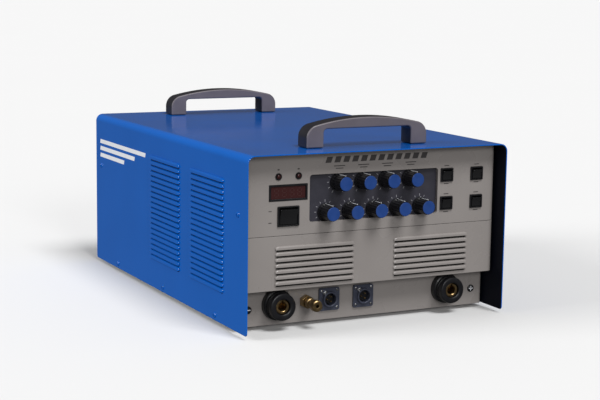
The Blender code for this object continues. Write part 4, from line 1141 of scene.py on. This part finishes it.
@dataclass
class Controls:
    """The knob plate, its knobs and printed scales, the display, the lamps and the switches."""

    knob: Knob = field(default_factory=Knob)
    knobs: int = 9
    ticks: int = 11
    sweep: float = 300.0
    tick_start: float = 0.0102
    tick_end: float = 0.0122
    display_half: tuple[float, float] = (0.0213, 0.0078)
    digit_pitch: float = 0.0088
    title_bars: int = 12
    title_pitch: float = 0.0104
    title_middle: float = 5.3
    title_drop: float = 0.0076
    title_size: tuple[float, float] = (0.0068, 0.0062)
    title_lean: float = 0.35
    mark_tall: float = 0.0009
    mark_depth: float = 0.00005

    def build_knobs(self) -> None:
        """Nine knobs, each with its cap and pointer."""
        low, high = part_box("knob_1")
        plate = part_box("knob_plate")[0].y
        radius, reach = (high.x - low.x) / 2, plate - low.y - 0.0006 - self.knob.cap_reach
        body = self.knob.pattern(radius, reach, high.y - plate)
        cap = self.knob.cap(reach)
        line = self.knob.pointer(radius, reach)
        for i in range(1, self.knobs + 1):
            node = f"knob_{i}"
            middle = Bench.centre(node)
            move = Matrix.Translation((middle.x, plate - 0.0006, middle.z)) @ Facing.FRONT.turn()
            grip = Bench.copy(body, node + "_grip", move)
            Machine.add(grip, BLACK, "black_plastic", node, [node])
            Machine.add(Bench.copy(cap, node + "_cap", move), CAP, "black_plastic", node)
            Machine.add(Bench.copy(line, node + "_pointer", move), WHITE, "black_plastic", node)
        for pattern in (body, cap, line):
            bpy.data.objects.remove(pattern, do_unlink=True)

    def build_scales(self) -> None:
        """The plate, with a printed ring of ticks round every knob."""
        Machine.refine("knob_plate", SLATE, "plate_grey", 0.0002)
        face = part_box("knob_plate")[0].y
        marks = []
        for i in range(1, self.knobs + 1):
            middle = Bench.centre(f"knob_{i}")
            for k in range(self.ticks):
                angle = math.radians(self.sweep * (k / (self.ticks - 1) - 0.5))
                long = 0.0006 if k % 5 == 0 else 0.0
                tick = Bench.block("tick", (-0.00024, face - 0.00006, self.tick_start),
                                   (0.00024, face + 0.00005, self.tick_end + long))
                tick.data.transform(
                    Matrix.Translation((middle.x, 0.0, middle.z)) @ Matrix.Rotation(angle, 4, "Y")
                )
                marks.append(tick)
        Machine.add(Bench.join("knob_scales", marks), PRINT, "plate_grey")

    def build_display(self) -> None:
        """The smoked window with a black surround and four unlit digits."""
        Machine.refine("display_window", LENS, "smoked_lens", 0.0003)
        face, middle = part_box("display_window")[0].y, Bench.centre("display_window")
        x, z, (half, tall) = middle.x, middle.z, self.display_half
        frame = Bench.block(
            "display_surround", (x - half - 0.0008, face - 0.0010, z - tall - 0.0008),
            (x + half + 0.0008, face + 0.0004, z + tall + 0.0008),
        )
        hole = Bench.block("hole", (x - half + 0.0016, face - 0.002, z - tall + 0.0014),
                           (x + half - 0.0016, face + 0.002, z + tall - 0.0014))
        Bench.cut(frame, hole)
        Bench.soften(frame, 0.0003)
        Machine.add(frame, BLACK, "black_plastic")
        digits = []
        for i in range(4):
            digits += self.digit(x + (i - 1.5) * self.digit_pitch, z, face - 0.00008)
        Machine.add(Bench.join("display_digits", digits), DIGIT, "smoked_lens")

    @staticmethod
    def digit(x: float, z: float, y: float) -> list[Piece]:
        """Seven unlit segments of one digit.

        Args:
            x: Its middle across.
            z: Its middle in height.
            y: Where its front is.

        Returns:
            The segments.
        """
        half, tall, bar = 0.0022, 0.0082, 0.0008
        spans = [(x - half + bar, x + half - bar, z + level - bar / 2, z + level + bar / 2)
                 for level in (-tall / 2, 0.0, tall / 2)]
        spans += [(x + side - bar / 2, x + side + bar / 2,
                   z + level - tall / 4 + bar, z + level + tall / 4 - bar)
                  for side in (-half, half) for level in (-tall / 4, tall / 4)]
        return [Bench.block("segment", (left, y, bottom), (right, y + 0.0002, top))
                for left, right, bottom, top in spans]

    def build_lamps(self) -> None:
        """A dark collar and a domed lens for each lamp."""
        for node in ("lamp_left", "lamp_right"):
            middle = Bench.centre(node)
            place = (middle.x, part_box(node)[0].y + 0.0024, middle.z)
            collar = Bench.turned(node + "_collar", [
                (0.0024, 0.0010), (0.0033, 0.0011), (0.0037, 0.0007), (0.0037, 0.0001),
                (0.0028, 0.0001), (0.0028, -0.008), (0.0024, -0.008), (0.0024, 0.0010)], 40)
            Bench.soften(collar, 0.0, over=SHARP)
            Machine.add(Bench.put(collar, place), BLACK, "black_plastic", stands_for=[node])
            lens = Bench.turned(node + "_lens", [
                (0.0, 0.0020), (0.0009, 0.0019), (0.0017, 0.0015), (0.0022, 0.0009),
                (0.00235, 0.0002), (0.00235, -0.006), (0.0, -0.006)], 40)
            Bench.soften(lens, 0.0, over=SHARP)
            Machine.add(Bench.put(lens, place), LENS, "smoked_lens")

    def build_switches(self) -> None:
        """Housings and rockers with rounded edges."""
        names = [("power_switch_body", "power_rocker")]
        names += [(f"mode_switch_body_{i}", f"mode_rocker_{i}") for i in range(1, 5)]
        for body, rocker in names:
            Machine.refine(body, BLACK, "black_plastic", 0.0004, segments=3)
            Machine.refine(rocker, GLOSS, "rocker_gloss", 0.0004, rocker, 3)

    def mark(self, x: float, z: float, wide: float, tall: float = 0.0, lean: float = 0.0) -> Piece:
        """A printed bar on the face of the control panel.

        Args:
            x: Its middle across.
            z: Its middle in height.
            wide: Its width.
            tall: Its height, or 0 for that of a plain mark.
            lean: How far its top leans to the right, as a share of its height.

        Returns:
            The bar.
        """
        face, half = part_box("control_panel")[0].y, (tall or self.mark_tall) / 2
        mark = Bench.block("mark", (x - wide / 2, face - self.mark_depth, z - half),
                           (x + wide / 2, face + self.mark_depth, z + half))
        for vert in mark.data.vertices:
            vert.co.x += (vert.co.z - z) * lean
        return mark

    def build_labels(self) -> None:
        """Short plain bars where the panel is printed."""
        top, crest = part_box("knob_plate")[1].z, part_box("control_panel")[1].z - self.title_drop
        marks = []
        for i in range(1, 5):
            x = Bench.centre(f"knob_{i}").x
            marks += [self.mark(x, top + 0.0058, 0.013), self.mark(x, top + 0.0032, 0.009)]
        beside = [(f"mode_switch_body_{i}", 0.0, rise, 0.006, 0.0)
                  for i in range(1, 5) for rise in (0.0100, -0.0095)]
        beside += [(node, 0.0, 0.0072, 0.0022, 0.0014) for node in ("lamp_left", "lamp_right")]
        beside += [("power_switch_body", -0.0205, rise, 0.0034, 0.0) for rise in (0.0060, -0.0060)]
        for node, across, rise, wide, tall in beside:
            middle = Bench.centre(node)
            marks.append(self.mark(middle.x + across, middle.z + rise, wide, tall))
        wide, tall = self.title_size
        for i in range(self.title_bars):
            x = (i - self.title_middle) * self.title_pitch
            marks.append(self.mark(x, crest, wide, tall, self.title_lean))
        Machine.add(Bench.join("panel_marks", marks), INK, "panel_enamel")

    def build(self) -> None:
        """Make every control."""
        self.build_scales()
        self.build_knobs()
        self.build_display()
        self.build_lamps()
        self.build_switches()
        self.build_labels()


# ---------------------------------------------------------------- sockets


@dataclass
class Sockets:
    """The welding sockets, the control sockets and the gas outlet."""

    base: float = 0.0165
    ring: float = 0.0145
    reach: float = 0.019
    bore: float = 0.0083
    grooves: int = 12
    pin_circle: float = 0.0030
    latch_turn: float = 38.0
    knurls: int = 24
    knurl_depth: float = 0.05

    def welding(self, pole: str) -> None:
        """One welding socket: a stepped black shell round a bored brass contact.

        Args:
            pole: "negative" or "positive".
        """
        place = Bench.seat(pole + "_socket")
        bore, ring, base, out = self.bore, self.ring, self.base, self.reach
        shell = Bench.turned(pole + "_shell", [
            (bore, out - 0.0008), (bore + 0.0012, out), (ring - 0.0016, out),
            (ring - 0.0004, out - 0.0005), (ring, out - 0.0018), (ring, out - 0.0062),
            (ring - 0.0009, out - 0.0068), (ring - 0.0009, out - 0.0078), (ring, out - 0.0084),
            (ring, 0.0072), (base - 0.0008, 0.0066), (base, 0.0058), (base, 0.0003),
            (0.0122, 0.0003), (0.0122, -0.016), (bore, -0.016), (bore, out - 0.0008)], 64)
        for i in range(self.grooves):
            groove = Bench.block("groove", (-0.0006, ring - 0.0005, 0.0085),
                                 (0.0006, ring + 0.002, 0.0102))
            groove.data.transform(Matrix.Rotation(math.tau * i / self.grooves, 4, "Z"))
            Bench.cut(shell, groove)
        Bench.soften(shell, 0.0, over=SHARP)
        Machine.add(Bench.put(shell, place), BLACK, "black_plastic", stands_for=[pole + "_socket"])
        front = out - 0.0025
        contact = Bench.turned(pole + "_insert", [
            (0.0048, front - 0.0006), (0.0054, front), (0.0070, front), (0.0078, front - 0.0006),
            (0.0080, front - 0.0016), (0.0080, -0.026), (0.0, -0.026), (0.0, front - 0.022),
            (0.0048, front - 0.022), (0.0048, front - 0.0006)], 64)
        key = Bench.block("key", (-0.0011, 0.0030, front - 0.010), (0.0011, 0.0066, front + 0.001))
        Bench.cut(contact, key)
        Bench.soften(contact, 0.0, over=SHARP)
        Machine.add(Bench.put(contact, place), BRASS, "brass", stands_for=[pole + "_contact"])

    def control(self, name: str) -> None:
        """One round control socket on a square flange, with its insert, pins, latch and screws.

        Args:
            name: "torch" or "remote".
        """
        node = name + "_socket"
        low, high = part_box(node)
        place, half = Bench.seat(node), (high.x - low.x) / 2
        flange = Bench.sheet(
            node + "_flange", (-half, -half, 0.0002), (half, half, 0.0022), 2, 0.0022, 5
        )
        barrel = Bench.turned("barrel", [
            (0.0066, 0.0052), (0.0072, 0.0055), (0.0080, 0.0055), (0.0084, 0.0050),
            (0.0084, 0.0030), (0.0092, 0.0024), (0.0092, 0.0010), (0.0095, -0.001),
            (0.0095, -0.014), (0.0, -0.014), (0.0, -0.005), (0.0066, -0.005), (0.0066, 0.0052)], 64)
        Bench.cut(flange, Bench.rod("hole", 0.0088, -0.01, 0.01, 48))
        shell = Bench.join(node + "_shell", [flange, barrel])
        Bench.soften(shell, 0.0002, 2, 50.0)
        Machine.add(Bench.put(shell, place), SOCKET, "black_plastic", stands_for=[node])
        insert = Bench.turned(node + "_insert", [
            (0.0, 0.0012), (0.0050, 0.0012), (0.0055, 0.0007), (0.0055, -0.0052),
            (0.0, -0.0052)], 40)
        Bench.soften(insert, 0.0, over=SHARP)
        Machine.add(Bench.put(insert, place), BLACK, "black_plastic")
        profile = [(0.0, 0.0038), (0.0006, 0.0036), (0.0008, 0.0030), (0.0008, 0.0), (0.0, 0.0)]
        outward, pins = Matrix.Translation((self.pin_circle, 0.0, 0.0)), []
        for turn in (60.0, 180.0, 300.0):
            pins.append(Bench.turned("pin", profile, 16))
            pins[-1].data.transform(Matrix.Rotation(math.radians(turn), 4, "Z") @ outward)
        pins = Bench.join(node + "_pins", pins)
        Bench.soften(pins, 0.0, over=SHARP)
        Machine.add(Bench.put(pins, place), BRASS, "brass")
        latch = Bench.block(node + "_latch", (-0.0022, 0.0078, 0.0018), (0.0022, 0.0112, 0.0046))
        latch.data.transform(Matrix.Rotation(math.radians(self.latch_turn), 4, "Z"))
        Bench.soften(latch, 0.0006, 3)
        Machine.add(Bench.put(latch, place), STEEL, "steel")
        inset = half - 0.0030
        seats = [(place + Vector((x * inset, -0.0022, z * inset)), Facing.FRONT)
                 for x in (-1, 1) for z in (-1, 1)]
        PanScrew(0.0015, 0.0008, 0.0004).add_all(node + "_screws", seats, STEEL, "steel")

    def gas(self) -> None:
        """The brass outlet: a hexagon, a neck with a shoulder and a knurled ring."""
        body = Bench.turned("gas_body", [
            (0.0019, 0.0288), (0.0024, 0.0290), (0.0050, 0.0290), (0.0061, 0.0282),
            (0.0062, 0.0275), (0.0062, 0.0215), (0.0056, 0.0208), (0.0042, 0.0205),
            (0.0042, 0.0140), (0.0052, 0.0134), (0.0052, 0.0100), (0.0042, 0.0094),
            (0.0042, -0.009), (0.0019, -0.009), (0.0019, 0.0288)], 48)
        for vert in body.data.vertices:
            if math.hypot(vert.co.x, vert.co.y) > 0.0058:
                wave = 0.5 - 0.5 * math.cos(self.knurls * math.atan2(vert.co.y, vert.co.x))
                vert.co.x *= 1.0 - self.knurl_depth * wave
                vert.co.y *= 1.0 - self.knurl_depth * wave
        Bench.soften(body, 0.0, over=SHARP)
        nut = Bench.rod("gas_nut", 0.0074, 0.0003, 0.007, 6)
        Bench.cut(nut, Bench.rod("hole", 0.0040, -0.01, 0.02, 32))
        Bench.soften(nut, 0.0005)
        outlet = Bench.put(Bench.join("gas_fitting", [body, nut]), Bench.seat("gas_outlet"))
        Machine.add(outlet, BRASS, "brass", stands_for=["gas_outlet"])

    def build(self) -> None:
        """Make every socket."""
        for pole in ("negative", "positive"):
            self.welding(pole)
        for name in ("torch", "remote"):
            self.control(name)
        self.gas()


# ---------------------------------------------------------------- handles, back and feet


@dataclass
class Handles:
    """The two moulded carrying handles."""

    edge: float = 0.0007

    def build(self) -> None:
        """Make both handles, pale on the front and back, with painted shade on the faces round the
        arch.
        """
        for node in ("front_handle", "rear_handle"):
            handle = Machine.refine(node, HANDLE, "handle_plastic", self.edge, segments=3)
            # Faces that do not look to the front or back get painted shade.
            Bench.paint(handle, HANDLE_PAINTED_SHADE, lambda middle, normal: abs(normal.y) < 0.4)


@dataclass
class Back:
    """The back panel, the fan, its guard, the gland, the inlet and the earth stud."""

    screen_gap: float = 0.0030
    screen_deep: float = 0.0022
    fan_screw_inset: float = 0.0076
    panel_screw_inset: float = 0.014

    def build(self) -> None:
        """Make the back and the feet."""
        for node, finish, slot, width, body in (
            ("rear_panel", BLUE, "cover_enamel", 0.0003, "case"),
            ("fan_frame", BLACK, "black_plastic", 0.0005, "case"),
            ("fan_guard", STEEL, "steel", 0.0, "case"),
            ("fan_rotor", BLACK, "black_plastic", 0.0003, "fan_rotor"),
            ("mains_gland", BLACK, "black_plastic", 0.0004, "case"),
            ("gas_inlet", BRASS, "brass", 0.0002, "case"),
            ("earth_stud", BRASS, "brass", 0.0002, "case"),
        ):
            Machine.refine(node, finish, slot, width, body)
        for foot in ("front_left", "front_right", "rear_left", "rear_right"):
            Machine.refine("foot_" + foot, RUBBER, "rubber", 0.0003)
        self.screen()
        self.screws()

    def screen(self) -> None:
        """The dust screen in front of the fan."""
        low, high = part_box("fan_frame")
        start, end = low.y - self.screen_gap - self.screen_deep, low.y - self.screen_gap
        screen = Bench.sheet("fan_screen", (low.x, start, low.z), (high.x, end, high.z), 1, 0.006)
        Bench.dish(screen, looks(1, -1), 0.004, (0.0, 0.0012, 0.0))
        Bench.soften(screen, 0.0003)
        Machine.add(screen, RUBBER, "rubber")

    def screws(self) -> None:
        """The screws of the fan and of the back panel."""
        face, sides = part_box("rear_panel")[1].y, (-1, 1)
        low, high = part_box("fan_frame")
        middle, half = (low + high) / 2, (high.x - low.x) / 2 - self.fan_screw_inset
        places = [((middle.x + x * half, face, middle.z + z * half), Facing.BACK)
                  for x in sides for z in sides]
        low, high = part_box("rear_panel")
        inset = self.panel_screw_inset
        places += [((x, face, z), Facing.BACK) for x in (low.x + inset, high.x - inset)
                   for z in (low.z + inset, high.z - inset)]
        PanScrew(0.0034, 0.0018).add_all("back_screws", places, ZINC, "zinc_sheet")


@dataclass
class Inside:
    """The finishes of the CAD nodes that stay as they are, all of them inside the case."""

    finishes: dict[str, Finish] = field(default_factory=lambda: {
        "base_tray": ZINC, "control_board": BOARD, "power_board": BOARD, "heatsink": ALLOY,
        "capacitor_1": SLEEVE, "capacitor_2": SLEEVE, "transformer_core": FERRITE,
        "transformer_winding": WINDING, "output_choke": WINDING, "hf_unit": BLACK,
        "gas_valve": BRASS, "valve_plunger": STEEL, "gas_hose": RUBBER,
    })

    def build(self) -> None:
        """Dress the inner nodes."""
        for node, finish in self.finishes.items():
            mesh = bpy.data.objects[node].data
            mesh.materials.clear()
            mesh.materials.append(finish.material())
            LOG.info("%s dressed with %s", node, finish.name)


# ---------------------------------------------------------------- studio


@dataclass
class Lamp:
    """One wide soft light from far away.

    Args:
        name: The light's name.
        azimuth: Where it stands, in degrees from the front, positive to the right.
        elevation: Its height above the horizon, in degrees.
        strength: Irradiance that it gives a face turned to it.
        spread: Its width as seen from the machine, in degrees.
    """

    name: str
    azimuth: float
    elevation: float
    strength: float
    spread: float = 30.0

    def build(self) -> None:
        """Add the light."""
        data = bpy.data.lights.new(self.name, "SUN")
        data.energy, data.angle = self.strength, math.radians(self.spread)
        lamp = bpy.data.objects.new(self.name, data)
        bpy.context.scene.collection.objects.link(lamp)
        way = toward(self.azimuth, self.elevation)
        lamp.rotation_euler = way.to_track_quat("Z", "Y").to_euler()


@dataclass
class Studio:
    """The floor, the lights and the camera."""

    azimuth: float = -26.865
    elevation: float = 8.856
    roll: float = -0.781
    lens: float = 88.1
    sensor: float = 36.0
    place: tuple[float, float, float] = (-0.760, -1.539, 0.3696)
    backdrop: float = 0.91
    ambient: float = 0.36
    reflected: float = 0.08
    lamps: tuple[Lamp, ...] = (
        Lamp("overhead_front", 12.0, 58.0, 2.3, 24.0),
        Lamp("left", -100.0, 24.0, 1.9, 26.0),
        Lamp("low_front", -5.0, 20.0, 0.8, 14.0),
    )

    def floor(self) -> None:
        """A wide pale floor."""
        Bench.clear()
        bpy.ops.mesh.primitive_circle_add(vertices=96, radius=60.0, fill_type="NGON")
        floor = Bench.named("studio_floor")
        paper = Finish("studio_paper", (0.71, 0.71, 0.71), 0.9, drift=0.002, spread=0.01, cloud=0.5,
                       grain=0.02, depth=0.0, specular=0.0)
        floor.data.materials.append(paper.material())
        floor.visible_glossy = floor.visible_diffuse = False

    def world(self) -> None:
        """An even surround: pale as a backdrop, dimmer in its light and dimmest in reflections."""
        world = bpy.data.worlds.new("studio_world")
        world.use_nodes = True
        tree = world.node_tree
        sky = tree.nodes["Background"]
        sky.inputs["Color"].default_value = (1.0, 1.0, 1.0, 1.0)
        ray = tree.nodes.new("ShaderNodeLightPath")
        light = tree.nodes.new("ShaderNodeMapRange")
        light.inputs["To Min"].default_value = self.ambient
        light.inputs["To Max"].default_value = self.reflected
        tree.links.new(ray.outputs["Is Glossy Ray"], light.inputs["Value"])
        level = tree.nodes.new("ShaderNodeMapRange")
        level.inputs["To Max"].default_value = self.backdrop
        tree.links.new(ray.outputs["Is Camera Ray"], level.inputs["Value"])
        tree.links.new(light.outputs["Result"], level.inputs["To Min"])
        tree.links.new(level.outputs["Result"], sky.inputs["Strength"])
        bpy.context.scene.world = world

    def camera(self) -> None:
        """The camera at the front left, a little above the machine."""
        back = toward(self.azimuth, self.elevation)
        right = (-back).cross(Vector((0.0, 0.0, 1.0))).normalized()
        up = back.cross(right)
        c, s = math.cos(math.radians(self.roll)), math.sin(math.radians(self.roll))
        across, rising = c * right - s * up, s * right + c * up
        data = bpy.data.cameras.new("camera")
        data.lens, data.sensor_width = self.lens, self.sensor
        camera = bpy.data.objects.new("camera", data)
        bpy.context.scene.collection.objects.link(camera)
        pose = Matrix((across, rising, back)).transposed().to_4x4()
        pose.translation = Vector(self.place)
        camera.matrix_world = pose
        bpy.context.scene.camera = camera

    def build(self) -> None:
        """Set up the studio."""
        bpy.context.scene.view_settings.view_transform = "Standard"
        self.floor()
        self.world()
        for lamp in self.lamps:
            lamp.build()
        self.camera()


def main() -> None:
    """Build the machine over its frame."""
    logging.basicConfig(level=logging.INFO, format="%(name)s: %(message)s")
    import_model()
    Studio().build()
    for assembly in (Cover(), FrontPanels(), Controls(), Sockets(), Handles(), Back(), Inside()):
        assembly.build()
        LOG.info("%s built", type(assembly).__name__)
    Bench.clear()


if __name__ == "__main__":
    main()
